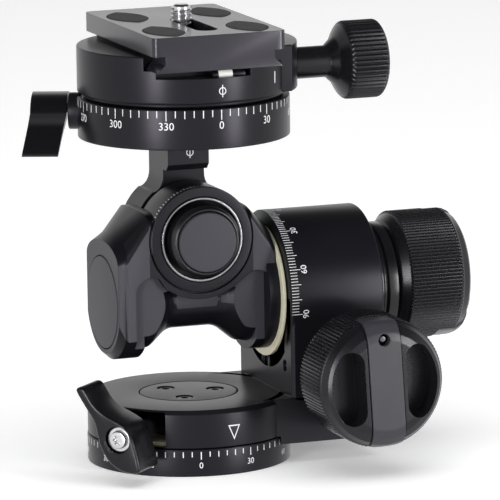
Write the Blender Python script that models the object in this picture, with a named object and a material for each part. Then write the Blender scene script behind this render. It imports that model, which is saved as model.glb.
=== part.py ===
"""Geared tripod head: a panning base, two tilting worm drives at right angles, a panning top and a plate clamp.

X runs along the barrel to the right, Y away from the front, Z up, in metres. The pieces are placed from the
pan axis, and every one hangs from an empty on its joint's axis. The frame's origin is the middle of the box
that the head fills, on the surface that the head stands on, and the pan axis stands beside it.
"""

import math

import bmesh
import bpy
from mathutils import Matrix, Vector

# Frame: where the pan axis stands, seen from the middle of the head's own box
PAN_AXIS_X = -0.01838
PAN_AXIS_Y = 0.01275

# Fits that all pieces share
GAP = 0.0003
OVERRUN = 0.0030
SHARP_ANGLE = math.radians(32)

# Rounds are drawn with these many sides
SIDES_LARGE = 40
SIDES_MEDIUM = 26
SIDES_SMALL = 16
SIDES_TINY = 8
ARC_POINTS = 9

# Base ring and its tripod thread
BASE_RADIUS = 0.0300
BASE_HEIGHT = 0.0081
EDGE_CHAMFER = 0.0005
FOOT_WIDTH = 0.0050
FOOT_RECESS = 0.0008
BUSH_RADIUS = 0.0072
BUSH_BORE_RADIUS = 0.0044
BUSH_FLANGE_RADIUS = 0.0094
BUSH_FLANGE_THICKNESS = 0.0013

# Pan bearing
SPINDLE_RADIUS = 0.0132
SPINDLE_HOLLOW_RADIUS = 0.0052
SPINDLE_HOLLOW_TOP = 0.0130
CAP_RADIUS = 0.0144
CAP_THICKNESS = 0.0025
CAP_SCREW_CIRCLE = 0.0085
CAP_SCREW_COUNT = 3
CAP_SCREW_START_DEG = 123.0
CAP_SCREW_HEAD_RADIUS = 0.0023
CAP_SCREW_HEAD_HEIGHT = 0.0013
CAP_SCREW_RADIUS = 0.0012
CAP_SCREW_LENGTH = 0.0050
HEX_RADIUS = 0.0012
HEX_DEPTH = 0.0008
WASHER_INNER_RADIUS = 0.0152
WASHER_OUTER_RADIUS = 0.0260
WASHER_THICKNESS = 0.0009

# Pan bracket
DISC_INSET = 0.00015
DISC_RADIUS = BASE_RADIUS - DISC_INSET
DISC_TOP = 0.0195
DISC_CHAMFER_WIDTH = 0.0008
DISC_CHAMFER_HEIGHT = 0.0013
SLAB_HALF_WIDTH = 0.0227
SLAB_BOTTOM = 0.0060
SLAB_CLEARANCE = 0.0006
ARM_LEFT = 0.0244
ARM_RIGHT = 0.0527
ARM_CHAMFER = 0.0009
BARREL_RADIUS = 0.0235
BARREL_PROUD = 0.0003
TILT_AXIS_Z = 0.0482
WHEEL_BORE_RADIUS = 0.0172
BARREL_WALL = 0.0050

# First worm, along Y under the main spindle, and its wheel
WORM_PITCH_RADIUS = 0.0045
TOOTH_ABOVE = 0.00062
TOOTH_BELOW = 0.00098
RIDGE_ROOT_SHARE = 0.24
RIDGE_CREST_SHARE = 0.10
RIDGE_SINK_SHARE = 0.93
TOOTH_ROOT_SHARE = 0.30
TOOTH_CREST_SHARE = 0.10
X_WHEEL_TEETH = 40
X_WHEEL_PITCH_RADIUS = 0.0156
X_WHEEL_X = 0.0411
X_WHEEL_WIDTH = 0.0050
WORM_TURNS = 3
WORM_STEPS = 10
JOURNAL_RADIUS = 0.0030
WORM_BORE_RADIUS = 0.0060
WORM_BUSH_LENGTH = 0.0093
WORM_BUSH_SETBACK = 0.0004
WORM_BUSH_END_WALL = 0.0030

# Grub screw that holds the front worm bush
GRUB_Y = -0.0166
GRUB_RADIUS = 0.0014
GRUB_HOLE_RADIUS = 0.0018
GRUB_SETBACK = 0.0007

# Brake rods and lock levers
BRAKE_HOLE_RADIUS = 0.0026
BRAKE_SHOE_LENGTH = 0.0060
PAN_LOCK_DEG = 225.0
PAN_LOCK_Z = 0.0140
LUG_HALF_WIDTH = 0.0065
LUG_OVERHANG = 0.00465
LUG_REACH = DISC_RADIUS + LUG_OVERHANG
LEVER_GAP = 0.0007
LEVER_INNER = LUG_REACH + LEVER_GAP
LEVER_DEPTH = 0.0126
LEVER_OUTER = LEVER_INNER + LEVER_DEPTH
LEVER_LENGTH = 0.0150
LEVER_RECESS_RADIUS = 0.0040
LEVER_RECESS_DEPTH = 0.0024
LOCK_WASHER_RADIUS = 0.0034
LOCK_WASHER_THICKNESS = 0.0006
LOCK_SCREW_HEAD_RADIUS = 0.0026
LOCK_SCREW_HEAD_HEIGHT = 0.0012
LEVER_OUTLINE_SHARES = (
    (-0.70, 0.96), (-0.49, 0.67), (-0.28, 0.50), (0.00, 0.37), (0.18, 0.26), (0.31, 0.05),
    (0.39, -0.20), (0.46, -0.47), (0.45, -0.60), (0.28, -0.64), (0.03, -0.59), (-0.19, -0.44),
    (-0.36, -0.18), (-0.43, 0.07), (-0.50, 0.33), (-0.68, 0.60), (-0.87, 0.92),
)

# Cradle casting
CRADLE_LEFT = -0.0260
CRADLE_RIGHT = 0.0227
PLATE_LEFT = -0.0228
PLATE_FRONT = -0.0138
CRADLE_BACK = 0.0144
BAND_FRONT = -0.0144
FLANGE_RADIUS = 0.0170
FLANGE_END_RADIUS = 0.0152
FLANGE_END_CHAMFER = 0.0020
SIDE_LOW = 0.0605
SIDE_HIGH = 0.0696
RIM_Z = 0.0753
RIM_HALF = 0.0160
LEFT_ARCH_Z = 0.0666
RIGHT_ARCH_Z = 0.0692
END_ARCH_POWER = 2.0
RIM_ARCH_POWER = 3.6
TUBE_RADIUS = 0.0091
HORN_RADIUS = 0.0146
HORN_INNER = 0.0060
HORN_OUTER = 0.0173
HORN_OVERLAP = 0.0008
FLANGE_STEP_RADIUS = 0.0143
FLANGE_STEP_OUTER = 0.0200
HORN_SHARES = ((0.0, 0.0), (0.27, 0.20), (0.53, 0.64), (0.71, 0.93), (1.0, 1.0))
LEG_INNER = 0.0153
LEG_BEND_Z = 0.0489
LEG_BEND = 0.0026
LIP_SPREAD_DEG = 32.0
RECESS_SPREAD_DEG = 40.0
STEP_DEPTH = 0.0023
LEFT_ARCH_X = -0.0154
LEFT_ARCH_RADIUS = 0.0049
RIGHT_ARCH_X = 0.0172
RIGHT_ARCH_RADIUS = 0.0045
ARCH_TOP_Z = 0.0568
END_CAP_RADIUS = 0.0136
END_CAP_THICKNESS = 0.0012
END_CAP_PROUD = 0.0002

# Hub on the swing axis
SWING_AXIS_Z = 0.0672
HUB_RADIUS = 0.0156
HUB_LIP_RADIUS = 0.01775
HUB_FRONT = -0.0144
HUB_BACK = -0.0013
HUB_GROOVE_WIDTH = 0.0005
HUB_GROOVE_DEPTH = 0.0012
HUB_BORE_RADIUS = 0.0127
HUB_BORE_FLOOR = -0.0086
HUB_RING_WALL = 0.0006
HUB_BOSS_RADIUS = 0.0105
HUB_BOSS_FRONT = -0.0192
HUB_BOSS_RIM = 0.0009
HUB_CAP_RADIUS = 0.0088
HUB_CAP_FRONT = -0.0202
HUB_CAP_RECESS = 0.0013
PIN_RADIUS = 0.0050
PIN_FRONT = -0.0070
REAR_COVER_RADIUS = 0.0115
REAR_COVER_THICKNESS = 0.0014

# Second worm, along X through the main spindle, and its wheel
Y_WORM_OFFSET = 0.0012
Y_WHEEL_TEETH = 36
Y_WHEEL_FRONT = -0.0043
Y_WHEEL_WIDTH = 0.0050
Y_WORM_BORE_RADIUS = 0.0058
Y_BUSH_LEFT = -0.0170
Y_BUSH_LENGTH = 0.0070

# Main spindle
FLANGE_PLATE_RADIUS = 0.0166
FLANGE_PLATE_THICKNESS = 0.0015
SPINDLE_OUTER_RADIUS = 0.0110
SPINDLE_BORE_RADIUS = 0.0060
SPINDLE_BUSH_LENGTH = 0.0090
SLIP_RING_RADIUS = 0.0196
SLIP_RING_THICKNESS = 0.0009
COLLAR_RADIUS = 0.0176
COLLAR_LENGTH = 0.0070
COLLAR_GROOVE = 0.0007
COLLAR_GROOVE_SHARES = (0.32, 0.40, 0.50, 0.58)

# Drive knobs
KNOB_HUB_RADIUS = 0.0150
KNOB_REAR_RADIUS = 0.0183
KNOB_FLARE = 0.0038
KNURL_RADIUS = 0.0192
KNURL_DEPTH = 0.0005
KNURL_LENGTH = 0.0163
KNOB_NECK_RADIUS = 0.0095
SHAFT_GRIP = 0.0140
KNOB_RIB_COUNT = 28
DOME_RADIUS = 0.0185
DOME_HEIGHT = 0.0041
DOME_SHARES = ((0.0, 1.0), (0.50, 0.94), (0.85, 0.82), (1.0, 0.70))
BAR_WIDTH = 0.0100
BAR_REACH = 0.0095
BAR_THICKNESS = 0.0026
BAR_FLAT = 0.0185
BAR_PROUD = 0.0004
BAR_SCREW_CIRCLE = 0.0135
BAR_SCREW_RADIUS = 0.0015
BAR_SCREW_LENGTH = 0.0050
WELL_RIM_RADIUS = 0.0163
WELL_INNER = 0.0063
WELL_CORNER_RADIUS = 0.0039
WELL_DEPTH = 0.0092
X_KNOB_GAP = 0.0093
X_KNOB_TURN_DEG = 3.0
Y_KNOB_TURN_DEG = -110.0

# Stem
NECK_HALF_WIDTH = 0.00635
NECK_FRONT = -0.0035
NECK_BACK = 0.0137
NECK_TOP = 0.0960
NECK_STEP_Z = 0.0860
NECK_STEP_BEVEL = 0.0018
STEM_DISC_FRONT = 0.0010
STEM_DISC_RADIUS = 0.0156
STEM_DISC_RELIEF = 0.0122
STEM_RELIEF_DEG = 65.0
FILLET_HEIGHT = 0.0050
FILLET_REACH = 0.0034
SECTOR_CLEARANCE = 0.0005

# Top scale ring and its bearing
TOP_RADIUS = 0.0311
TOP_RING_HEIGHT = 0.0118
TOP_FLOOR = 0.0022
TOP_SPINDLE_RADIUS = 0.0130
TOP_LOCK_DEG = 157.0
TOP_LOCK_HEIGHT = 0.0071
TOP_LEVER_BOSS_RADIUS = 0.0054
TOP_LEVER_STAND = 0.0029
TOP_LEVER_INNER = TOP_RADIUS + TOP_LEVER_STAND
TOP_LEVER_DEPTH = 0.0106
TOP_LEVER_OUTER = TOP_LEVER_INNER + TOP_LEVER_DEPTH
TOP_LEVER_LEAN = 0.0027
TOP_LEVER_HEEL_SHARE = 0.52

# Clamp
CLAMP_GROOVE = 0.0013
CLAMP_GROOVE_DEPTH = 0.0016
CLAMP_SPIGOT_RADIUS = TOP_RADIUS - CLAMP_GROOVE_DEPTH
CLAMP_HEIGHT = 0.0136
CHANNEL_DEPTH = 0.0040
LEVEL_POCKET_DEPTH = 0.0013
LEVEL_POCKET_LEFT = -0.0172
LEVEL_POCKET_RIGHT = 0.0105
LEVEL_POCKET_WIDTH = 0.0076
LEVEL_POCKET_BACK = LEVEL_POCKET_WIDTH - TOP_RADIUS
LEVEL_RADIUS = 0.0016
LEVEL_DEPTH = 0.0018
LEVEL_LEFT = -0.0009
LEVEL_LENGTH = 0.0099
LEVEL_INSET = 0.0035
LEVEL_Y = LEVEL_INSET - TOP_RADIUS
LIP_END_WIDTH = 0.0096
LIP_END_BACK = LIP_END_WIDTH - TOP_RADIUS
JAW_INNER = 0.0202
JAW_REACH = 0.0023
JAW_RADIUS = TOP_RADIUS + JAW_REACH
JAW_HALF_WIDTH = 0.0204
JAW_RISE = 0.0004
CLAMP_AXIS_DEPTH = 0.0083
CLAMP_SCREW_RADIUS = 0.0028
CLAMP_SCREW_INNER_END = 0.0020
CLAMP_NECK_RADIUS = 0.0047
CLAMP_NECK_LENGTH = 0.0105
CLAMP_FLARE = 0.0052
CLAMP_KNOB_RADIUS = 0.0116
CLAMP_KNOB_LENGTH = 0.0117
CLAMP_KNOB_EDGE = 0.0012
CLAMP_RIB_COUNT = 20
CLAMP_RIB_DEPTH = 0.0004

# Camera plate
PLATE_FRONT_Y = -0.0330
PLATE_LENGTH = 0.0626
PLATE_HALF_WIDTH = 0.02025
PLATE_SLAB = 0.00555
PLATE_CORNER = 0.0016
DOVETAIL_HALF = 0.0192
DOVETAIL_RISE = 0.0026
WAIST_HEIGHT = 0.0022
SLOT_HALF_WIDTH = 0.0034
SLOT_FRONT = -0.0243
SLOT_BACK = 0.0006
HEAD_SLOT_HALF_WIDTH = 0.0080
HEAD_SLOT_DEPTH = 0.0037
PAD_X = 0.0128
PAD_WIDTH = 0.0110
PAD_LENGTH = 0.0220
PAD_FRONT_Y = -0.0204
PAD_BACK_Y = 0.0120
PAD_RECESS = 0.0009
PAD_PROUD = 0.0002
CAMERA_SCREW_RADIUS = 0.0031
CAMERA_SCREW_RISE = 0.0047
CAMERA_HEAD_RADIUS = 0.0075
CAMERA_HEAD_THICKNESS = 0.0022
COIN_SLOT_HALF_WIDTH = 0.0007
COIN_SLOT_DEPTH = 0.0010

# Heights and places that follow from the sizes above
DISC_BOTTOM = BASE_HEIGHT + GAP
CAP_BOTTOM = DISC_TOP - CAP_THICKNESS
SPINDLE_TOP = CAP_BOTTOM - GAP
BARREL_LEFT = ARM_LEFT
BARREL_RIGHT = ARM_RIGHT + BARREL_PROUD
X_WORM_Z = TILT_AXIS_Z - X_WHEEL_PITCH_RADIUS - WORM_PITCH_RADIUS
Y_WORM_Z = TILT_AXIS_Z + Y_WORM_OFFSET
Y_WHEEL_PITCH_RADIUS = SWING_AXIS_Z - Y_WORM_Z - WORM_PITCH_RADIUS
FLANGE_PLATE_LEFT = CRADLE_RIGHT + GAP
COLLAR_LEFT = BARREL_RIGHT + GAP
COLLAR_RIGHT = COLLAR_LEFT + COLLAR_LENGTH
KNOB_LENGTH = KNOB_FLARE + KNURL_LENGTH + DOME_HEIGHT
TOP_RING_BOTTOM = NECK_TOP + GAP
TOP_RING_TOP = TOP_RING_BOTTOM + TOP_RING_HEIGHT
CLAMP_BOTTOM = TOP_RING_TOP + GAP
CLAMP_DISC_BOTTOM = CLAMP_BOTTOM + CLAMP_GROOVE
CLAMP_TOP = CLAMP_DISC_BOTTOM + CLAMP_HEIGHT
CHANNEL_FLOOR = CLAMP_TOP - CHANNEL_DEPTH
PLATE_BOTTOM = CHANNEL_FLOOR + GAP
WAIST_BOTTOM = PLATE_BOTTOM + DOVETAIL_RISE
SLAB_UNDERSIDE = WAIST_BOTTOM + WAIST_HEIGHT
PLATE_TOP = SLAB_UNDERSIDE + PLATE_SLAB
WAIST_HALF = DOVETAIL_HALF - DOVETAIL_RISE
CLAMP_AXIS_Z = CLAMP_TOP - CLAMP_AXIS_DEPTH
TOP_LOCK_Z = TOP_RING_BOTTOM + TOP_LOCK_HEIGHT
X_KNOB_REAR = SLAB_HALF_WIDTH + X_KNOB_GAP
Y_KNOB_REAR = COLLAR_RIGHT + GAP
SLOPE_GAP = GAP * math.sqrt(2)

# Which way a piece's own Z axis points
UP = Matrix.Identity(3)
RIGHT = Matrix.Rotation(math.pi / 2, 3, "Y")
FRONTWARD = Matrix.Rotation(math.pi / 2, 3, "X")
BACKWARD = Matrix.Rotation(-math.pi / 2, 3, "X")


def clear_scene():
    """Remove what the startup file holds."""
    for old in list(bpy.data.objects):
        bpy.data.objects.remove(old)


def finish(name, colour, roughness, metallic):
    """A plain finish of one colour."""
    material = bpy.data.materials.new(name)
    material.use_nodes = True
    shader = material.node_tree.nodes["Principled BSDF"]
    shader.inputs["Base Color"].default_value = (*colour, 1.0)
    shader.inputs["Roughness"].default_value = roughness
    shader.inputs["Metallic"].default_value = metallic
    return material


def empty(name, place, parent=None):
    """An empty on an axis, placed in the head's own coordinates."""
    axis = bpy.data.objects.new(name, None)
    axis.parent = parent
    axis.location = Vector(place) - (home(parent) if parent else Vector())
    bpy.context.scene.collection.objects.link(axis)
    return axis


def home(axis):
    """Where an empty stands, in the head's own coordinates."""
    place = Vector()
    while axis.parent:
        place += axis.location
        axis = axis.parent
    return place


def piece(name, bm, axis, place=(0, 0, 0), turn=UP, material=None):
    """Turn a bmesh into an object that hangs from an axis, at a place in the head's own coordinates."""
    bmesh.ops.recalc_face_normals(bm, faces=bm.faces)
    mesh = bpy.data.meshes.new(name)
    bm.to_mesh(mesh)
    bm.free()
    mesh.shade_smooth()
    mesh.set_sharp_from_angle(angle=SHARP_ANGLE)
    if material:
        mesh.materials.append(material)
    made = bpy.data.objects.new(name, mesh)
    made.parent = axis
    made.location = Vector(place) - home(axis)
    made.rotation_euler = turn.to_euler()
    bpy.context.scene.collection.objects.link(made)
    return made


def helper(name, bm, axis, place=(0, 0, 0), turn=UP):
    """A shape that only cuts or adds to another, and is not a piece by itself."""
    made = piece(name, bm, axis, place, turn)
    made.hide_render = True
    made.display_type = "WIRE"
    return made


def combine(target, other, operation="DIFFERENCE"):
    """Cut, join or intersect one object with another."""
    modifier = target.modifiers.new(other.name, "BOOLEAN")
    modifier.operation = operation
    modifier.solver = "EXACT"
    modifier.object = other


def turned(profile, sides):
    """A lathe shape about Z: the profile lists (height, radius), and starts and ends on the axis or is a ring's."""
    bm = bmesh.new()
    solid = profile[0][1] == 0
    drawn = profile[1:-1] if solid else profile
    corners = [bm.verts.new((radius, 0, height)) for height, radius in drawn]
    edges = [bm.edges.new(pair) for pair in zip(corners, corners[1:])]
    if not solid:
        edges.append(bm.edges.new((corners[-1], corners[0])))
    bmesh.ops.spin(
        bm, geom=corners + edges, cent=(0, 0, 0), axis=(0, 0, 1), dvec=(0, 0, 0),
        angle=2 * math.pi, steps=sides, use_merge=True,
    )
    bmesh.ops.remove_doubles(bm, verts=bm.verts, dist=GAP / 100)
    if solid:
        bmesh.ops.holes_fill(bm, edges=bm.edges, sides=0)
    return bm


def disc(low, high, radius, sides):
    """A plain cylinder about Z."""
    return turned([(low, 0), (low, radius), (high, radius), (high, 0)], sides)


def tube(low, high, inner, outer, sides):
    """A plain ring about Z."""
    return turned([(low, inner), (low, outer), (high, outer), (high, inner)], sides)


def loft(rings):
    """Skin a row of rings that have as many points each, and close both ends."""
    bm = bmesh.new()
    loops = [[bm.verts.new(point) for point in ring] for ring in rings]
    for first, second in zip(loops, loops[1:]):
        for index in range(len(first)):
            after = (index + 1) % len(first)
            bm.faces.new((first[index], first[after], second[after], second[index]))
    bm.faces.new(loops[0])
    bm.faces.new(loops[-1])
    return bm


def prism(outline, low, high):
    """Extrude an outline of (x, y) points along Z."""
    bm = bmesh.new()
    face = bm.faces.new([bm.verts.new((x, y, low)) for x, y in outline])
    grown = bmesh.ops.extrude_face_region(bm, geom=[face])
    top = [item for item in grown["geom"] if isinstance(item, bmesh.types.BMVert)]
    bmesh.ops.translate(bm, verts=top, vec=(0, 0, high - low))
    return bm


def block(x_low, x_high, y_low, y_high, z_low, z_high):
    """A plain box between two corners."""
    return prism([(x_low, y_low), (x_high, y_low), (x_high, y_high), (x_low, y_high)], z_low, z_high)


def arc(centre_x, centre_y, radius, start_deg, end_deg, count):
    """Points along an arc, both ends included."""
    points = []
    for index in range(count):
        angle = math.radians(start_deg + (end_deg - start_deg) * index / (count - 1))
        points.append((centre_x + radius * math.cos(angle), centre_y + radius * math.sin(angle)))
    return points


def radial(degrees):
    """A turn whose Z axis points outward at this angle round the vertical, and whose Y axis points up."""
    angle = math.radians(degrees)
    outward = Vector((math.cos(angle), math.sin(angle), 0))
    across = Vector((-math.sin(angle), math.cos(angle), 0))
    return Matrix((across, Vector((0, 0, 1)), outward)).transposed()


# Worm gearing: a worm is a ridge wound on a shaft, and its wheel has teeth twisted by the worm's lead angle
def worm(name, pitch, shaft_low, shaft_high, axis, place, turn):
    """A shaft along Z with a right-handed ridge wound round its middle, which is at the place given."""
    root = WORM_PITCH_RADIUS - TOOTH_BELOW
    crest = WORM_PITCH_RADIUS + TOOTH_ABOVE
    half_length = WORM_TURNS * pitch / 2
    shaft = turned(
        [
            (shaft_low, 0),
            (shaft_low, JOURNAL_RADIUS),
            (-half_length - pitch, JOURNAL_RADIUS),
            (-half_length - pitch / 2, root),
            (half_length + pitch / 2, root),
            (half_length + pitch, JOURNAL_RADIUS),
            (shaft_high, JOURNAL_RADIUS),
            (shaft_high, 0),
        ],
        WORM_STEPS,
    )
    sunk = root * RIDGE_SINK_SHARE
    wide = pitch * RIDGE_ROOT_SHARE
    narrow = pitch * RIDGE_CREST_SHARE
    section = ((sunk, -wide), (crest, -narrow), (crest, narrow), (sunk, wide))
    rings = []
    for step in range(WORM_TURNS * WORM_STEPS + 1):
        wound = step / WORM_STEPS - WORM_TURNS / 2
        angle = 2 * math.pi * wound
        rings.append([
            (radius * math.cos(angle), radius * math.sin(angle), pitch * wound + offset)
            for radius, offset in section
        ])
    made = piece(name, shaft, axis, place, turn, steel)
    combine(made, helper(f"{name}_ridge", loft(rings), axis, place, turn), "UNION")


def worm_wheel(name, teeth, pitch_radius, width, bore, axis, place, turn):
    """A wheel about Z whose teeth lean by the worm's lead angle, with a tooth gap at angle zero in its middle."""
    lead = math.atan2(2 * math.pi * pitch_radius / teeth, 2 * math.pi * WORM_PITCH_RADIUS)
    twist = width * math.tan(lead) / pitch_radius
    root = pitch_radius - TOOTH_BELOW
    crest = pitch_radius + TOOTH_ABOVE
    step = 2 * math.pi / teeth
    flank = (
        (root, -TOOTH_ROOT_SHARE), (crest, -TOOTH_CREST_SHARE), (crest, TOOTH_CREST_SHARE), (root, TOOTH_ROOT_SHARE),
    )
    rings = []
    for level in (-width / 2, width / 2):
        ring = []
        for tooth in range(teeth):
            for radius, share in flank:
                angle = step * (tooth + 1 / 2 + share) + twist * level / width
                ring.append((radius * math.cos(angle), radius * math.sin(angle), level))
        rings.append(ring)
    made = piece(name, loft(rings), axis, place, turn, brass)
    combine(made, helper(f"{name}_bore", disc(-width, width, bore, SIDES_MEDIUM), axis, place, turn))


clear_scene()
black = finish("black anodised aluminium", (0.018, 0.018, 0.021), 0.36, 0.0)
grey = finish("dark grey aluminium", (0.050, 0.050, 0.055), 0.42, 0.0)
lilac = finish("light grey aluminium", (0.36, 0.35, 0.39), 0.38, 0.0)
steel = finish("bright steel", (0.62, 0.62, 0.64), 0.22, 1.0)
brass = finish("brass", (0.62, 0.46, 0.20), 0.30, 1.0)
bronze = finish("bearing bronze", (0.45, 0.29, 0.15), 0.35, 1.0)
cream = finish("cream slip ring", (0.72, 0.68, 0.52), 0.45, 0.0)
rubber = finish("black rubber", (0.030, 0.030, 0.032), 0.75, 0.0)
vial = finish("white level vial", (0.85, 0.86, 0.80), 0.20, 0.0)

# The joints' axes, each an empty hung from the one that carries it
frame = empty("head_frame", (PAN_AXIS_X, PAN_AXIS_Y, 0))
base_axis = empty("base_axis", (0, 0, 0), frame)
pan_axis = empty("pan_axis", (0, 0, 0), frame)
x_tilt_axis = empty("x_tilt_axis", (0, 0, TILT_AXIS_Z), pan_axis)
x_drive_axis = empty("x_drive_axis", (X_WHEEL_X, 0, X_WORM_Z), pan_axis)
y_drive_axis = empty("y_drive_axis", (0, 0, Y_WORM_Z), x_tilt_axis)
swing_axis = empty("swing_axis", (0, 0, SWING_AXIS_Z), x_tilt_axis)
pan_lock_axis = empty("pan_lock_axis", (0, 0, PAN_LOCK_Z), pan_axis)
top_lock_axis = empty("top_lock_axis", (0, 0, TOP_LOCK_Z), swing_axis)
top_pan_axis = empty("top_pan_axis", (0, 0, TOP_RING_TOP), swing_axis)
jaw_axis = empty("jaw_axis", (JAW_INNER, 0, CLAMP_AXIS_Z), top_pan_axis)
clamp_screw_axis = empty("clamp_screw_axis", (JAW_RADIUS, 0, CLAMP_AXIS_Z), jaw_axis)
plate_axis = empty("plate_axis", (0, 0, PLATE_BOTTOM), top_pan_axis)
camera_screw_axis = empty("camera_screw_axis", (0, 0, PLATE_TOP), plate_axis)


# Base: the scale ring stands on a narrow foot, and the tripod bush is trapped between it and the pan spindle
def base():
    foot_inner = BASE_RADIUS - FOOT_WIDTH
    hole = BUSH_RADIUS + GAP
    ring = turned(
        [
            (0, foot_inner),
            (0, BASE_RADIUS - EDGE_CHAMFER),
            (EDGE_CHAMFER, BASE_RADIUS),
            (BASE_HEIGHT - EDGE_CHAMFER, BASE_RADIUS),
            (BASE_HEIGHT, BASE_RADIUS - EDGE_CHAMFER),
            (BASE_HEIGHT, hole),
            (FOOT_RECESS, hole),
            (FOOT_RECESS, foot_inner),
        ],
        SIDES_LARGE,
    )
    piece("base_scale_ring", ring, base_axis, material=black)
    flange_top = DISC_BOTTOM + BUSH_FLANGE_THICKNESS
    bush = turned(
        [
            (FOOT_RECESS, BUSH_BORE_RADIUS),
            (FOOT_RECESS, BUSH_RADIUS),
            (DISC_BOTTOM, BUSH_RADIUS),
            (DISC_BOTTOM, BUSH_FLANGE_RADIUS),
            (flange_top, BUSH_FLANGE_RADIUS),
            (flange_top, BUSH_BORE_RADIUS),
        ],
        SIDES_SMALL,
    )
    piece("tripod_bush", bush, base_axis, material=brass)
    recess_radius = BUSH_FLANGE_RADIUS + GAP
    recess_top = flange_top + GAP
    spindle = turned(
        [
            (SPINDLE_HOLLOW_TOP, 0),
            (SPINDLE_HOLLOW_TOP, SPINDLE_HOLLOW_RADIUS),
            (recess_top, SPINDLE_HOLLOW_RADIUS),
            (recess_top, recess_radius),
            (DISC_BOTTOM, recess_radius),
            (DISC_BOTTOM, SPINDLE_RADIUS),
            (SPINDLE_TOP, SPINDLE_RADIUS),
            (SPINDLE_TOP, 0),
        ],
        SIDES_MEDIUM,
    )
    spindle = piece("pan_spindle", spindle, base_axis, material=steel)
    cap = disc(CAP_BOTTOM, DISC_TOP, CAP_RADIUS, SIDES_MEDIUM)
    cap = piece("pan_retaining_cap", cap, base_axis, material=black)
    head_bottom = DISC_TOP - CAP_SCREW_HEAD_HEIGHT
    shank_end = head_bottom - CAP_SCREW_LENGTH
    for index in range(CAP_SCREW_COUNT):
        angle = math.radians(CAP_SCREW_START_DEG - 360 * index / CAP_SCREW_COUNT)
        place = (CAP_SCREW_CIRCLE * math.cos(angle), CAP_SCREW_CIRCLE * math.sin(angle), 0)
        hole = turned(
            [
                (shank_end - GAP, 0),
                (shank_end - GAP, CAP_SCREW_RADIUS + GAP),
                (head_bottom - GAP, CAP_SCREW_RADIUS + GAP),
                (head_bottom - GAP, CAP_SCREW_HEAD_RADIUS + GAP),
                (DISC_TOP + OVERRUN, CAP_SCREW_HEAD_RADIUS + GAP),
                (DISC_TOP + OVERRUN, 0),
            ],
            SIDES_TINY,
        )
        cutter = helper(f"cap_screw_hole_{index + 1}", hole, base_axis, place)
        combine(cap, cutter)
        combine(spindle, cutter)
        screw = turned(
            [
                (shank_end, 0),
                (shank_end, CAP_SCREW_RADIUS),
                (head_bottom, CAP_SCREW_RADIUS),
                (head_bottom, CAP_SCREW_HEAD_RADIUS),
                (DISC_TOP - GAP, CAP_SCREW_HEAD_RADIUS),
                (DISC_TOP - GAP, HEX_RADIUS),
                (DISC_TOP - GAP - HEX_DEPTH, HEX_RADIUS),
                (DISC_TOP - GAP - HEX_DEPTH, 0),
            ],
            SIDES_TINY,
        )
        piece(f"cap_screw_{index + 1}", screw, base_axis, place, material=steel)
    washer = tube(DISC_BOTTOM, DISC_BOTTOM + WASHER_THICKNESS, WASHER_INNER_RADIUS, WASHER_OUTER_RADIUS, SIDES_MEDIUM)
    piece("pan_friction_washer", washer, base_axis, material=cream)


def lock_lever(name, axis, degrees, height, inner, outer, heel_share=1.0, flip=1, lean=0.0):
    """An S-shaped lever: its outline is seen from outside, and it is as deep as it reaches outward."""
    rings = []
    for reach in (inner, outer):
        ring = []
        for across, rise in LEVER_OUTLINE_SHARES:
            rise = rise * flip * (heel_share if rise * flip > 0 else 1.0)
            out = reach - lean * min(rise, 0)
            ring.append((across * flip * LEVER_LENGTH, rise * LEVER_LENGTH, out))
        rings.append(ring)
    lever = piece(name, loft(rings), axis, (0, 0, height), radial(degrees), black)
    bore_radius = BRAKE_HOLE_RADIUS
    recess = turned(
        [
            (inner - OVERRUN, 0),
            (inner - OVERRUN, bore_radius),
            (outer - LEVER_RECESS_DEPTH, bore_radius),
            (outer - LEVER_RECESS_DEPTH, LEVER_RECESS_RADIUS),
            (outer + OVERRUN, LEVER_RECESS_RADIUS),
            (outer + OVERRUN, 0),
        ],
        SIDES_SMALL,
    )
    combine(lever, helper(f"{name}_bore", recess, axis, (0, 0, height), radial(degrees)))
    return lever


def lock_parts(prefix, axis, carrier, degrees, height, seat, outer, washer):
    """The brake shoe in its carrier, and the stud and screw that turn with the lever."""
    turn = radial(degrees)
    place = (0, 0, height)
    rod_radius = BRAKE_HOLE_RADIUS - GAP
    shoe_end = seat + GAP + BRAKE_SHOE_LENGTH
    shoe = disc(seat + GAP + GAP, shoe_end, rod_radius, SIDES_TINY)
    piece(f"{prefix}_brake_shoe", shoe, carrier, place, turn, bronze)
    recess_floor = outer - LEVER_RECESS_DEPTH
    stud = disc(shoe_end + GAP, recess_floor - LEVER_RECESS_DEPTH, rod_radius, SIDES_TINY)
    piece(f"{prefix}_lock_stud", stud, axis, place, turn, steel)
    face = recess_floor + GAP
    if washer:
        ring = tube(face, face + LOCK_WASHER_THICKNESS, BRAKE_HOLE_RADIUS - GAP, LOCK_WASHER_RADIUS, SIDES_SMALL)
        piece(f"{prefix}_lock_washer", ring, axis, place, turn, steel)
        face += LOCK_WASHER_THICKNESS + GAP
    shank = BRAKE_HOLE_RADIUS - GAP - GAP
    top = face + LOCK_SCREW_HEAD_HEIGHT
    screw = turned(
        [
            (recess_floor - LEVER_RECESS_DEPTH + GAP, 0),
            (recess_floor - LEVER_RECESS_DEPTH + GAP, shank),
            (face, shank),
            (face, LOCK_SCREW_HEAD_RADIUS),
            (top, LOCK_SCREW_HEAD_RADIUS),
            (top, HEX_RADIUS),
            (top - HEX_DEPTH, HEX_RADIUS),
            (top - HEX_DEPTH, 0),
        ],
        SIDES_TINY,
    )
    piece(f"{prefix}_lock_screw", screw, axis, place, turn, steel)


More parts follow.
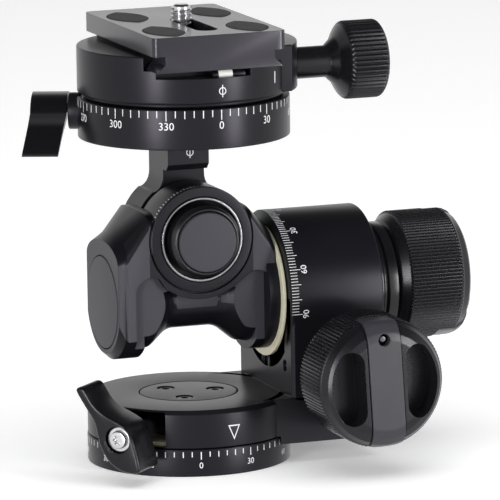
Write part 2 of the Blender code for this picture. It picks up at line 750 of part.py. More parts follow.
# Pan bracket: disc, slab, arm and barrel are one casting, bored for the spindle, the worm and the lock
def pan_bracket():
    inner = SPINDLE_RADIUS + GAP
    cap_hole = CAP_RADIUS + GAP
    washer_top = DISC_BOTTOM + WASHER_THICKNESS + GAP
    profile = [
        (DISC_BOTTOM, inner),
        (DISC_BOTTOM, WASHER_INNER_RADIUS - GAP),
        (washer_top, WASHER_INNER_RADIUS - GAP),
        (washer_top, WASHER_OUTER_RADIUS + GAP),
        (DISC_BOTTOM, WASHER_OUTER_RADIUS + GAP),
        (DISC_BOTTOM, DISC_RADIUS),
        (DISC_TOP - DISC_CHAMFER_HEIGHT, DISC_RADIUS),
        (DISC_TOP, DISC_RADIUS - DISC_CHAMFER_WIDTH),
        (DISC_TOP, cap_hole),
        (CAP_BOTTOM - GAP, cap_hole),
        (CAP_BOTTOM - GAP, inner),
    ]
    bracket = piece("pan_bracket", turned(profile, SIDES_LARGE), pan_axis, material=black)
    slab_start = WASHER_OUTER_RADIUS - ARM_CHAMFER
    slab = block(0, ARM_RIGHT, -SLAB_HALF_WIDTH, SLAB_HALF_WIDTH, SLAB_BOTTOM, DISC_TOP)
    slab = helper("slab_shape", slab, pan_axis)
    ring_room = disc(SLAB_BOTTOM - OVERRUN, DISC_BOTTOM, BASE_RADIUS + SLAB_CLEARANCE, SIDES_LARGE)
    combine(slab, helper("base_ring_room", ring_room, pan_axis))
    middle = disc(0, DISC_TOP + OVERRUN, slab_start + OVERRUN, SIDES_LARGE)
    combine(slab, helper("slab_middle", middle, pan_axis))
    combine(bracket, slab, "UNION")
    arm_outline = [
        (ARM_LEFT + ARM_CHAMFER, -SLAB_HALF_WIDTH),
        (ARM_RIGHT - ARM_CHAMFER, -SLAB_HALF_WIDTH),
        (ARM_RIGHT, -SLAB_HALF_WIDTH + ARM_CHAMFER),
        (ARM_RIGHT, SLAB_HALF_WIDTH - ARM_CHAMFER),
        (ARM_RIGHT - ARM_CHAMFER, SLAB_HALF_WIDTH),
        (ARM_LEFT + ARM_CHAMFER, SLAB_HALF_WIDTH),
        (ARM_LEFT, SLAB_HALF_WIDTH - ARM_CHAMFER),
        (ARM_LEFT, -SLAB_HALF_WIDTH + ARM_CHAMFER),
    ]
    arm = prism(arm_outline, DISC_TOP - ARM_CHAMFER, TILT_AXIS_Z)
    combine(bracket, helper("arm_shape", arm, pan_axis), "UNION")
    barrel = turned(
        [
            (BARREL_LEFT, 0),
            (BARREL_LEFT, BARREL_RADIUS - EDGE_CHAMFER),
            (BARREL_LEFT + EDGE_CHAMFER, BARREL_RADIUS),
            (BARREL_RIGHT - EDGE_CHAMFER, BARREL_RADIUS),
            (BARREL_RIGHT, BARREL_RADIUS - EDGE_CHAMFER),
            (BARREL_RIGHT, 0),
        ],
        SIDES_LARGE,
    )
    centre = (0, 0, TILT_AXIS_Z)
    combine(bracket, helper("barrel_shape", barrel, pan_axis, centre, RIGHT), "UNION")
    lug = block(-LUG_HALF_WIDTH, LUG_HALF_WIDTH, DISC_BOTTOM - PAN_LOCK_Z, DISC_TOP - PAN_LOCK_Z - EDGE_CHAMFER,
                WASHER_OUTER_RADIUS + OVERRUN / 2, LUG_REACH)
    lock_place = (0, 0, PAN_LOCK_Z)
    combine(bracket, helper("lock_lug", lug, pan_axis, lock_place, radial(PAN_LOCK_DEG)), "UNION")
    wall = BARREL_RIGHT - BARREL_WALL
    hollow = turned(
        [
            (BARREL_LEFT - OVERRUN, 0),
            (BARREL_LEFT - OVERRUN, WHEEL_BORE_RADIUS),
            (wall, WHEEL_BORE_RADIUS),
            (wall, SPINDLE_OUTER_RADIUS + GAP),
            (BARREL_RIGHT + OVERRUN, SPINDLE_OUTER_RADIUS + GAP),
            (BARREL_RIGHT + OVERRUN, 0),
        ],
        SIDES_MEDIUM,
    )
    combine(bracket, helper("barrel_hollow", hollow, pan_axis, centre, RIGHT))
    reach = SLAB_HALF_WIDTH + OVERRUN
    worm_bore = disc(-reach, reach, WORM_BORE_RADIUS, SIDES_SMALL)
    combine(bracket, helper("worm_bore", worm_bore, pan_axis, (X_WHEEL_X, 0, X_WORM_Z), FRONTWARD))
    grub_hole = disc(ARM_LEFT - OVERRUN, X_WHEEL_X - WORM_PITCH_RADIUS, GRUB_HOLE_RADIUS, SIDES_TINY)
    combine(bracket, helper("grub_hole", grub_hole, pan_axis, (0, GRUB_Y, X_WORM_Z), RIGHT))
    brake_bore = disc(SPINDLE_RADIUS - OVERRUN, LUG_REACH + OVERRUN, BRAKE_HOLE_RADIUS, SIDES_SMALL)
    combine(bracket, helper("brake_bore", brake_bore, pan_axis, lock_place, radial(PAN_LOCK_DEG)))


def worm_bushes():
    """The front bush is open for the shaft, and the rear one is closed behind it."""
    outer = WORM_BORE_RADIUS - GAP
    inner = JOURNAL_RADIUS + GAP
    front = SLAB_HALF_WIDTH - WORM_BUSH_SETBACK
    place = (X_WHEEL_X, 0, X_WORM_Z)
    bush = tube(front - WORM_BUSH_LENGTH, front, inner, outer, SIDES_SMALL)
    piece("x_worm_front_bush", bush, pan_axis, place, FRONTWARD, bronze)
    bore_end = front - WORM_BUSH_END_WALL
    plug = turned(
        [
            (bore_end, 0),
            (bore_end, inner),
            (front - WORM_BUSH_LENGTH, inner),
            (front - WORM_BUSH_LENGTH, outer),
            (front, outer),
            (front, 0),
        ],
        SIDES_SMALL,
    )
    piece("x_worm_rear_bush", plug, pan_axis, place, BACKWARD, bronze)
    grub_end = X_WHEEL_X - outer - GAP
    grub = turned(
        [
            (ARM_LEFT + GRUB_SETBACK + HEX_DEPTH, 0),
            (ARM_LEFT + GRUB_SETBACK + HEX_DEPTH, GRUB_RADIUS / 2),
            (ARM_LEFT + GRUB_SETBACK, GRUB_RADIUS / 2),
            (ARM_LEFT + GRUB_SETBACK, GRUB_RADIUS),
            (grub_end, GRUB_RADIUS),
            (grub_end, 0),
        ],
        SIDES_TINY,
    )
    piece("arm_grub_screw", grub, pan_axis, (0, GRUB_Y, X_WORM_Z), RIGHT, steel)


# Cradle casting: rings of one section run along X, then the windows, the horn-shaped tube and the hub follow
def cradle_section(x, bottom_radius, front, side_z, top_z, power):
    """One section of the casting, at one place along X: a round bottom, flat sides and an arched top."""
    middle, half = (front + CRADLE_BACK) / 2, (CRADLE_BACK - front) / 2
    start = math.degrees(math.asin(front / bottom_radius)) - 90
    end = math.degrees(math.asin(CRADLE_BACK / bottom_radius)) - 90
    points = arc(0, TILT_AXIS_Z, bottom_radius, start, end, ARC_POINTS)
    for step in range(ARC_POINTS):
        angle = math.pi * step / (ARC_POINTS - 1)
        reach = math.copysign(abs(math.cos(angle)) ** (2 / power), math.cos(angle))
        points.append((middle + half * reach, side_z + (top_z - side_z) * abs(math.sin(angle)) ** (2 / power)))
    return [(x, y, z) for y, z in points]


def cradle_body():
    """The casting's block before it is cut: its left end has a bevel and a band that stands a little proud."""
    slope = (RIM_Z - LEFT_ARCH_Z) / (-RIM_HALF - CRADLE_LEFT)
    bevel_z = LEFT_ARCH_Z + slope * FLANGE_END_CHAMFER
    band_z = LEFT_ARCH_Z + slope * (PLATE_LEFT - CRADLE_LEFT)
    bevel_x = CRADLE_LEFT + FLANGE_END_CHAMFER
    return loft([
        cradle_section(CRADLE_LEFT, FLANGE_END_RADIUS, BAND_FRONT, SIDE_LOW, LEFT_ARCH_Z, END_ARCH_POWER),
        cradle_section(bevel_x, FLANGE_RADIUS, BAND_FRONT, SIDE_LOW, bevel_z, END_ARCH_POWER),
        cradle_section(PLATE_LEFT, FLANGE_RADIUS, PLATE_FRONT, SIDE_LOW, band_z, END_ARCH_POWER),
        cradle_section(-RIM_HALF, FLANGE_RADIUS, PLATE_FRONT, SIDE_HIGH, RIM_Z, RIM_ARCH_POWER),
        cradle_section(RIM_HALF, FLANGE_RADIUS, PLATE_FRONT, SIDE_HIGH, RIM_Z, RIM_ARCH_POWER),
        cradle_section(CRADLE_RIGHT, FLANGE_RADIUS, PLATE_FRONT, SIDE_LOW, RIGHT_ARCH_Z, END_ARCH_POWER),
    ])


def front_cutter(name, outline, front, back):
    """A cutter for the cradle, drawn as (x, z) seen from the front and run along Y."""
    return helper(name, prism([(x, -z) for x, z in outline], front, back), x_tilt_axis, turn=BACKWARD)


def horn_profile():
    """The tube between the flanges widens into them like a horn."""
    flare = [
        (HORN_INNER + (HORN_OUTER - HORN_INNER) * along, TUBE_RADIUS + (HORN_RADIUS - TUBE_RADIUS) * out)
        for along, out in HORN_SHARES
    ]
    flare.append((HORN_OUTER + HORN_OVERLAP, HORN_RADIUS))
    profile = [(-x, radius) for x, radius in reversed(flare)] + flare
    return [(profile[0][0], 0)] + profile + [(profile[-1][0], 0)]


def tilt_cradle():
    cradle = piece("tilt_cradle", cradle_body(), x_tilt_axis, material=grey)
    centre = (0, 0, TILT_AXIS_Z)
    low = TILT_AXIS_Z - FLANGE_RADIUS - OVERRUN
    far = FLANGE_RADIUS + OVERRUN
    # The window under the hub leaves two legs, and its top follows the hub's lip
    window = (
        [(-LEG_INNER, low)]
        + arc(-LEG_INNER + LEG_BEND, LEG_BEND_Z, LEG_BEND, 180, 90, ARC_POINTS // 2)
        + arc(0, SWING_AXIS_Z, HUB_LIP_RADIUS, -90 - LIP_SPREAD_DEG, -90 + LIP_SPREAD_DEG, ARC_POINTS)
        + arc(LEG_INNER - LEG_BEND, LEG_BEND_Z, LEG_BEND, 90, 0, ARC_POINTS // 2)
        + [(LEG_INNER, low)]
    )
    combine(cradle, front_cutter("under_hub_window", window, -far, far))
    # Below the tilt axis the flanges stand proud of the legs between them
    step = tube(-HORN_OUTER, HORN_OUTER, FLANGE_STEP_RADIUS, FLANGE_STEP_OUTER, SIDES_MEDIUM)
    step = helper("flange_step", step, x_tilt_axis, centre, RIGHT)
    upper = block(-far, far, -far, far, TILT_AXIS_Z, SWING_AXIS_Z + far)
    combine(step, helper("flange_step_upper", upper, x_tilt_axis))
    combine(cradle, step)
    # A shallow recess, front and back, has two arches that sweep down to the lip
    recess = (
        [(LEFT_ARCH_X - LEFT_ARCH_RADIUS, low)]
        + arc(LEFT_ARCH_X, ARCH_TOP_Z - LEFT_ARCH_RADIUS, LEFT_ARCH_RADIUS, 180, 60, ARC_POINTS // 2)
        + arc(0, SWING_AXIS_Z, HUB_LIP_RADIUS, -90 - RECESS_SPREAD_DEG, -90 + RECESS_SPREAD_DEG, ARC_POINTS)
        + arc(RIGHT_ARCH_X, ARCH_TOP_Z - RIGHT_ARCH_RADIUS, RIGHT_ARCH_RADIUS, 120, 0, ARC_POINTS // 2)
        + [(RIGHT_ARCH_X + RIGHT_ARCH_RADIUS, low)]
    )
    combine(cradle, front_cutter("back_recess", recess, CRADLE_BACK - STEP_DEPTH, far))
    combine(cradle, helper("horn_tube", turned(horn_profile(), SIDES_MEDIUM), x_tilt_axis, centre, RIGHT), "UNION")
    combine(cradle, front_cutter("front_recess", recess, -far, PLATE_FRONT + STEP_DEPTH))
    # The hub stands on the front plate inside a narrow groove, and carries the pivot pin
    hub_centre = (0, 0, SWING_AXIS_Z)
    groove = disc(-far, PLATE_FRONT + HUB_GROOVE_DEPTH, HUB_RADIUS + HUB_GROOVE_WIDTH, SIDES_LARGE)
    combine(cradle, helper("hub_groove", groove, x_tilt_axis, hub_centre, BACKWARD))
    hub = disc(HUB_FRONT, HUB_BACK, HUB_RADIUS, SIDES_LARGE)
    combine(cradle, helper("hub_shape", hub, x_tilt_axis, hub_centre, BACKWARD), "UNION")
    wheel_radius = Y_WHEEL_PITCH_RADIUS + TOOTH_ABOVE + SECTOR_CLEARANCE
    hub_bore = turned(
        [
            (-far, 0),
            (-far, HUB_BORE_RADIUS),
            (HUB_BORE_FLOOR, HUB_BORE_RADIUS),
            (HUB_BORE_FLOOR, PIN_RADIUS + GAP),
            (Y_WHEEL_FRONT - GAP, PIN_RADIUS + GAP),
            (Y_WHEEL_FRONT - GAP, wheel_radius),
            (STEM_DISC_FRONT, wheel_radius),
            (STEM_DISC_FRONT, 0),
        ],
        SIDES_MEDIUM,
    )
    combine(cradle, helper("hub_bore", hub_bore, x_tilt_axis, hub_centre, BACKWARD))
    # The stem's disc swings in a round pocket, cut flat above the tube
    pocket_radius = STEM_DISC_RADIUS + GAP
    floor_drop = STEM_DISC_RELIEF + GAP + GAP
    floor_deg = math.degrees(math.acos(floor_drop / pocket_radius))
    pocket = arc(0, 0, pocket_radius, 90 + floor_deg, 450 - floor_deg, SIDES_MEDIUM)
    pocket = prism(pocket, HUB_BACK + GAP, far)
    combine(cradle, helper("stem_pocket", pocket, x_tilt_axis, hub_centre, BACKWARD))
    worm_bore = disc(Y_BUSH_LEFT - GAP, CRADLE_RIGHT + OVERRUN, Y_WORM_BORE_RADIUS, SIDES_SMALL)
    combine(cradle, helper("cradle_worm_bore", worm_bore, x_tilt_axis, (0, 0, Y_WORM_Z), RIGHT))
    cap_pocket = disc(CRADLE_LEFT - OVERRUN, CRADLE_LEFT + END_CAP_THICKNESS, END_CAP_RADIUS + GAP, SIDES_MEDIUM)
    combine(cradle, helper("end_cap_pocket", cap_pocket, x_tilt_axis, centre, RIGHT))


def cradle_fittings():
    """Discs, rings, pin and bushes that are fixed to the cradle casting."""
    centre = (0, 0, TILT_AXIS_Z)
    hub_centre = (0, 0, SWING_AXIS_Z)
    cap = disc(CRADLE_LEFT - END_CAP_PROUD, CRADLE_LEFT + END_CAP_THICKNESS - GAP, END_CAP_RADIUS, SIDES_MEDIUM)
    piece("left_end_cap", cap, x_tilt_axis, centre, RIGHT, grey)
    liner = HUB_BORE_RADIUS - GAP
    ring = tube(HUB_FRONT - GAP, HUB_BORE_FLOOR - GAP, liner - HUB_RING_WALL, liner, SIDES_MEDIUM)
    piece("hub_ring", ring, x_tilt_axis, hub_centre, BACKWARD, steel)
    cap_seat = HUB_CAP_RADIUS + GAP
    boss = turned(
        [
            (HUB_BORE_FLOOR - GAP, 0),
            (HUB_BORE_FLOOR - GAP, HUB_BOSS_RADIUS),
            (HUB_BOSS_FRONT + HUB_BOSS_RIM, HUB_BOSS_RADIUS),
            (HUB_BOSS_FRONT, HUB_BOSS_RADIUS - HUB_BOSS_RIM),
            (HUB_BOSS_FRONT, cap_seat),
            (HUB_BOSS_FRONT + HUB_CAP_RECESS, cap_seat),
            (HUB_BOSS_FRONT + HUB_CAP_RECESS, 0),
        ],
        SIDES_MEDIUM,
    )
    piece("hub_boss", boss, x_tilt_axis, hub_centre, BACKWARD, black)
    cap = turned(
        [
            (HUB_CAP_FRONT, 0),
            (HUB_CAP_FRONT, HUB_CAP_RADIUS - EDGE_CHAMFER),
            (HUB_CAP_FRONT + EDGE_CHAMFER, HUB_CAP_RADIUS),
            (HUB_BOSS_FRONT + HUB_CAP_RECESS - GAP, HUB_CAP_RADIUS),
            (HUB_BOSS_FRONT + HUB_CAP_RECESS - GAP, 0),
        ],
        SIDES_MEDIUM,
    )
    piece("hub_cap", cap, x_tilt_axis, hub_centre, BACKWARD, grey)
    cover_front = CRADLE_BACK + GAP
    pin = disc(PIN_FRONT, cover_front - GAP, PIN_RADIUS, SIDES_SMALL)
    piece("y_pivot_pin", pin, x_tilt_axis, hub_centre, BACKWARD, steel)
    cover = turned(
        [
            (cover_front, 0),
            (cover_front, REAR_COVER_RADIUS),
            (cover_front + REAR_COVER_THICKNESS - EDGE_CHAMFER, REAR_COVER_RADIUS),
            (cover_front + REAR_COVER_THICKNESS, REAR_COVER_RADIUS - EDGE_CHAMFER),
            (cover_front + REAR_COVER_THICKNESS, 0),
        ],
        SIDES_MEDIUM,
    )
    piece("rear_cover", cover, x_tilt_axis, hub_centre, BACKWARD, grey)
    outer = Y_WORM_BORE_RADIUS - GAP
    inner = JOURNAL_RADIUS + GAP
    place = (0, 0, Y_WORM_Z)
    left = tube(Y_BUSH_LEFT, Y_BUSH_LEFT + Y_BUSH_LENGTH, inner, outer, SIDES_SMALL)
    piece("y_worm_left_bush", left, x_tilt_axis, place, RIGHT, bronze)
    right = tube(CRADLE_RIGHT - Y_BUSH_LENGTH - GAP, CRADLE_RIGHT - GAP, inner, outer, SIDES_SMALL)
    piece("y_worm_right_bush", right, x_tilt_axis, place, RIGHT, bronze)


def main_spindle():
    """The hollow spindle carries the cradle in the barrel, with the first wheel on it and a collar at its end."""
    centre = (0, 0, TILT_AXIS_Z)
    flange_right = FLANGE_PLATE_LEFT + FLANGE_PLATE_THICKNESS
    spindle = turned(
        [
            (FLANGE_PLATE_LEFT, 0),
            (FLANGE_PLATE_LEFT, FLANGE_PLATE_RADIUS),
            (flange_right, FLANGE_PLATE_RADIUS),
            (flange_right, SPINDLE_OUTER_RADIUS),
            (COLLAR_RIGHT - GAP, SPINDLE_OUTER_RADIUS),
            (COLLAR_RIGHT - GAP, 0),
        ],
        SIDES_MEDIUM,
    )
    spindle = piece("main_spindle", spindle, x_tilt_axis, centre, RIGHT, steel)
    bore = disc(CRADLE_RIGHT - OVERRUN, COLLAR_RIGHT + OVERRUN, SPINDLE_BORE_RADIUS, SIDES_SMALL)
    combine(spindle, helper("spindle_bore", bore, x_tilt_axis, (0, 0, Y_WORM_Z), RIGHT))
    bush_left = flange_right + GAP
    bush = tube(bush_left, bush_left + SPINDLE_BUSH_LENGTH, SPINDLE_OUTER_RADIUS + GAP,
                WHEEL_BORE_RADIUS - GAP, SIDES_MEDIUM)
    piece("main_spindle_bush", bush, pan_axis, centre, RIGHT, bronze)
    ring = tube(BARREL_LEFT - GAP - SLIP_RING_THICKNESS, BARREL_LEFT - GAP, FLANGE_PLATE_RADIUS + GAP,
                SLIP_RING_RADIUS, SIDES_MEDIUM)
    piece("slip_ring", ring, pan_axis, centre, RIGHT, cream)
    groove = [share * COLLAR_LENGTH for share in COLLAR_GROOVE_SHARES]
    neck = COLLAR_RADIUS - COLLAR_GROOVE
    collar = turned(
        [
            (COLLAR_LEFT, SPINDLE_OUTER_RADIUS + GAP),
            (COLLAR_LEFT, COLLAR_RADIUS),
            (COLLAR_LEFT + groove[0], COLLAR_RADIUS),
            (COLLAR_LEFT + groove[1], neck),
            (COLLAR_LEFT + groove[2], neck),
            (COLLAR_LEFT + groove[3], COLLAR_RADIUS),
            (COLLAR_RIGHT, COLLAR_RADIUS),
            (COLLAR_RIGHT, SPINDLE_OUTER_RADIUS + GAP),
        ],
        SIDES_MEDIUM,
    )
    piece("spindle_end_collar", collar, x_tilt_axis, centre, RIGHT, black)


def gears():
    """Each wheel's tooth gap faces its worm, which lies under it, at the middle of its turn."""
    worm_wheel("x_worm_wheel", X_WHEEL_TEETH, X_WHEEL_PITCH_RADIUS, X_WHEEL_WIDTH, SPINDLE_OUTER_RADIUS + GAP,
               x_tilt_axis, (X_WHEEL_X, 0, TILT_AXIS_Z), RIGHT)
    worm_wheel("y_worm_wheel", Y_WHEEL_TEETH, Y_WHEEL_PITCH_RADIUS, Y_WHEEL_WIDTH, PIN_RADIUS + GAP,
               swing_axis, (0, Y_WHEEL_FRONT + Y_WHEEL_WIDTH / 2, SWING_AXIS_Z), BACKWARD)
    x_rear = -SLAB_HALF_WIDTH + WORM_BUSH_SETBACK + WORM_BUSH_END_WALL + GAP
    facing = FRONTWARD @ Matrix.Rotation(math.pi / 2, 3, "Z")
    worm("x_worm_shaft", 2 * math.pi * X_WHEEL_PITCH_RADIUS / X_WHEEL_TEETH, x_rear, X_KNOB_REAR + SHAFT_GRIP,
         x_drive_axis, (X_WHEEL_X, 0, X_WORM_Z), facing)
    facing = RIGHT @ Matrix.Rotation(math.pi, 3, "Z")
    worm("y_worm_shaft", 2 * math.pi * Y_WHEEL_PITCH_RADIUS / Y_WHEEL_TEETH, Y_BUSH_LEFT + GAP,
         Y_KNOB_REAR + SHAFT_GRIP, y_drive_axis, (0, 0, Y_WORM_Z), facing)


# Drive knobs: a ribbed body with two finger wells, and a bar that bridges its face and grips its sides
def ribbed(stations, ribs, depth):
    """A round body about Z with straight ribs: each station is (height, radius, whether it has ribs)."""
    rings = []
    count = ribs * 2
    for height, radius, has_ribs in stations:
        ring = []
        for index in range(count):
            angle = 2 * math.pi * index / count
            inset = depth if has_ribs and index % 2 else 0
            ring.append(((radius - inset) * math.cos(angle), (radius - inset) * math.sin(angle), height))
        rings.append(ring)
    return loft(rings)


def knob_face(height, grown):
    """The dome from its rim to its flat, as (height, radius) pairs, grown outward by a little."""
    return [
        (height - DOME_HEIGHT + DOME_HEIGHT * rise + grown, DOME_RADIUS * out + grown)
        for rise, out in DOME_SHARES
    ]


def drive_knob(prefix, axis, place, turn, degrees, neck):
    """A drive knob with its rear face at the place given, turned about its own axis, and a neck behind it."""
    turn = turn @ Matrix.Rotation(math.radians(degrees), 3, "Z")
    rib_end = KNOB_FLARE + KNURL_LENGTH
    edge = KNURL_DEPTH
    stations = [
        (0, KNOB_HUB_RADIUS, False),
        (KNOB_FLARE - edge, KNOB_REAR_RADIUS, False),
        (KNOB_FLARE, KNURL_RADIUS, True),
        (rib_end - edge, KNURL_RADIUS, True),
    ]
    stations += [(height, radius, False) for height, radius in knob_face(KNOB_LENGTH, 0)]
    grip = piece(f"{prefix}_knob_grip", ribbed(stations, KNOB_RIB_COUNT, KNURL_DEPTH), axis, place, turn, black)
    if neck:
        plain = disc(-neck, KNOB_FLARE, KNOB_NECK_RADIUS, SIDES_MEDIUM)
        combine(grip, helper(f"{prefix}_knob_neck", plain, axis, place, turn), "UNION")
    half = BAR_WIDTH / 2
    core = BAR_FLAT - BAR_THICKNESS
    floor = KNOB_LENGTH - BAR_THICKNESS
    reach = KNURL_RADIUS + OVERRUN
    channel = block(-half - GAP, half + GAP, -reach, reach, KNOB_LENGTH - BAR_REACH - GAP, KNOB_LENGTH + OVERRUN)
    channel = helper(f"{prefix}_channel", channel, axis, place, turn)
    saved = block(-BAR_WIDTH, BAR_WIDTH, -core, core, 0, floor)
    combine(channel, helper(f"{prefix}_channel_core", saved, axis, place, turn))
    combine(grip, channel)
    corner_x = WELL_INNER + WELL_CORNER_RADIUS
    corner_reach = WELL_RIM_RADIUS - WELL_CORNER_RADIUS
    corner_y = math.sqrt(corner_reach ** 2 - corner_x ** 2)
    tilt = math.degrees(math.atan2(corner_y, corner_x))
    well = (
        arc(0, 0, WELL_RIM_RADIUS, -tilt, tilt, ARC_POINTS)
        + arc(corner_x, corner_y, WELL_CORNER_RADIUS, tilt, 180, ARC_POINTS // 2 + 1)[1:]
        + arc(corner_x, -corner_y, WELL_CORNER_RADIUS, 180, 360 - tilt, ARC_POINTS // 2 + 1)[:-1]
    )
    for side, name in ((1, "right"), (-1, "left")):
        outline = [(side * x, side * y) for x, y in well]
        cutter = prism(outline, KNOB_LENGTH - WELL_DEPTH, KNOB_LENGTH + OVERRUN)
        combine(grip, helper(f"{prefix}_{name}_well", cutter, axis, place, turn))
    shaft_bore = disc(-neck - OVERRUN, SHAFT_GRIP + GAP, JOURNAL_RADIUS + GAP, SIDES_SMALL)
    combine(grip, helper(f"{prefix}_knob_bore", shaft_bore, axis, place, turn))
    bar = block(-half, half, -BAR_FLAT, BAR_FLAT, KNOB_LENGTH - BAR_REACH, KNOB_LENGTH + BAR_PROUD)
    bar = piece(f"{prefix}_knob_bar", bar, axis, place, turn, grey)
    face = knob_face(KNOB_LENGTH, BAR_PROUD)
    dome = [(0, 0), (0, KNURL_RADIUS)] + face + [(face[-1][0], 0)]
    combine(bar, helper(f"{prefix}_bar_dome", turned(dome, SIDES_LARGE), axis, place, turn), "INTERSECT")
    inside = block(-BAR_WIDTH, BAR_WIDTH, -core - GAP, core + GAP, 0, floor + GAP)
    combine(bar, helper(f"{prefix}_bar_inside", inside, axis, place, turn))
    head = KNOB_LENGTH - BAR_THICKNESS / 2
    screw_place = Vector(place) + turn @ Vector((0, BAR_SCREW_CIRCLE, 0))
    hole = disc(head - BAR_SCREW_LENGTH - GAP, KNOB_LENGTH + OVERRUN, BAR_SCREW_RADIUS + GAP, SIDES_TINY)
    hole = helper(f"{prefix}_bar_screw_hole", hole, axis, screw_place, turn)
    combine(bar, hole)
    combine(grip, hole)
    screw = disc(head - BAR_SCREW_LENGTH, head, BAR_SCREW_RADIUS, SIDES_TINY)
    piece(f"{prefix}_knob_screw", screw, axis, screw_place, turn, steel)


# Stem: a neck and a disc that swings on the pivot pin
def stem():
    top_z = NECK_TOP - SWING_AXIS_Z
    meet_deg = math.degrees(math.asin((NECK_HALF_WIDTH + FILLET_REACH) / STEM_DISC_RADIUS))
    meet_z = STEM_DISC_RADIUS * math.cos(math.radians(meet_deg))
    fillet = []
    for step in range(6):
        angle = math.pi / 2 * step / 6
        fillet.append((
            NECK_HALF_WIDTH + FILLET_REACH * (1 - math.sin(angle)),
            meet_z + FILLET_HEIGHT * (1 - math.cos(angle)),
        ))
    right = [(NECK_HALF_WIDTH, top_z), (NECK_HALF_WIDTH, meet_z + FILLET_HEIGHT)] + fillet[::-1]
    left = [(-x, z) for x, z in reversed(right)]
    right_arc = arc(0, 0, STEM_DISC_RADIUS, 90 - meet_deg, STEM_RELIEF_DEG - 90, ARC_POINTS)[1:]
    relief = arc(0, 0, STEM_DISC_RELIEF, STEM_RELIEF_DEG - 90, -STEM_RELIEF_DEG - 90, ARC_POINTS)
    left_arc = [(-x, z) for x, z in reversed(right_arc)]
    outline = right + right_arc + relief + left_arc + left
    centre = (0, 0, SWING_AXIS_Z)
    body = prism([(x, -z) for x, z in outline], STEM_DISC_FRONT, NECK_BACK)
    neck = piece("stem", body, swing_axis, centre, BACKWARD, black)
    step_z = NECK_STEP_Z - SWING_AXIS_Z
    bevel = NECK_STEP_BEVEL
    section = [
        (NECK_FRONT + bevel, step_z),
        (STEM_DISC_FRONT + OVERRUN, step_z),
        (STEM_DISC_FRONT + OVERRUN, top_z),
        (NECK_FRONT, top_z),
        (NECK_FRONT, step_z + bevel),
    ]
    front = prism([(-z, y) for y, z in section], -NECK_HALF_WIDTH, NECK_HALF_WIDTH)
    combine(neck, helper("neck_front", front, swing_axis, centre, RIGHT), "UNION")
    bore = disc(HUB_FRONT, NECK_BACK + OVERRUN, PIN_RADIUS + GAP, SIDES_SMALL)
    combine(neck, helper("stem_bore", bore, swing_axis, centre, BACKWARD))


def top_ring():
    """The scale ring on top of the neck, hollow for the clamp's spindle."""
    floor = TOP_FLOOR
    ring = turned(
        [
            (0, 0),
            (0, TOP_RADIUS - EDGE_CHAMFER),
            (EDGE_CHAMFER, TOP_RADIUS),
            (TOP_RING_HEIGHT - EDGE_CHAMFER, TOP_RADIUS),
            (TOP_RING_HEIGHT, TOP_RADIUS - EDGE_CHAMFER),
            (TOP_RING_HEIGHT, TOP_SPINDLE_RADIUS + GAP),
            (floor, TOP_SPINDLE_RADIUS + GAP),
            (floor, 0),
        ],
        SIDES_LARGE,
    )
    ring = piece("top_scale_ring", ring, swing_axis, (0, 0, TOP_RING_BOTTOM), material=black)
    place = (0, 0, TOP_LOCK_Z)
    boss = disc(CLAMP_SPIGOT_RADIUS + GAP, TOP_LEVER_INNER - GAP, TOP_LEVER_BOSS_RADIUS, SIDES_SMALL)
    combine(ring, helper("top_lock_boss", boss, swing_axis, place, radial(TOP_LOCK_DEG)), "UNION")
    bore = disc(TOP_SPINDLE_RADIUS - OVERRUN, TOP_LEVER_INNER + OVERRUN, BRAKE_HOLE_RADIUS, SIDES_SMALL)
    combine(ring, helper("top_lock_bore", bore, swing_axis, place, radial(TOP_LOCK_DEG)))
    spindle = disc(TOP_RING_BOTTOM + floor + GAP, CLAMP_BOTTOM - GAP, TOP_SPINDLE_RADIUS, SIDES_MEDIUM)
    piece("top_pan_spindle", spindle, top_pan_axis, material=steel)


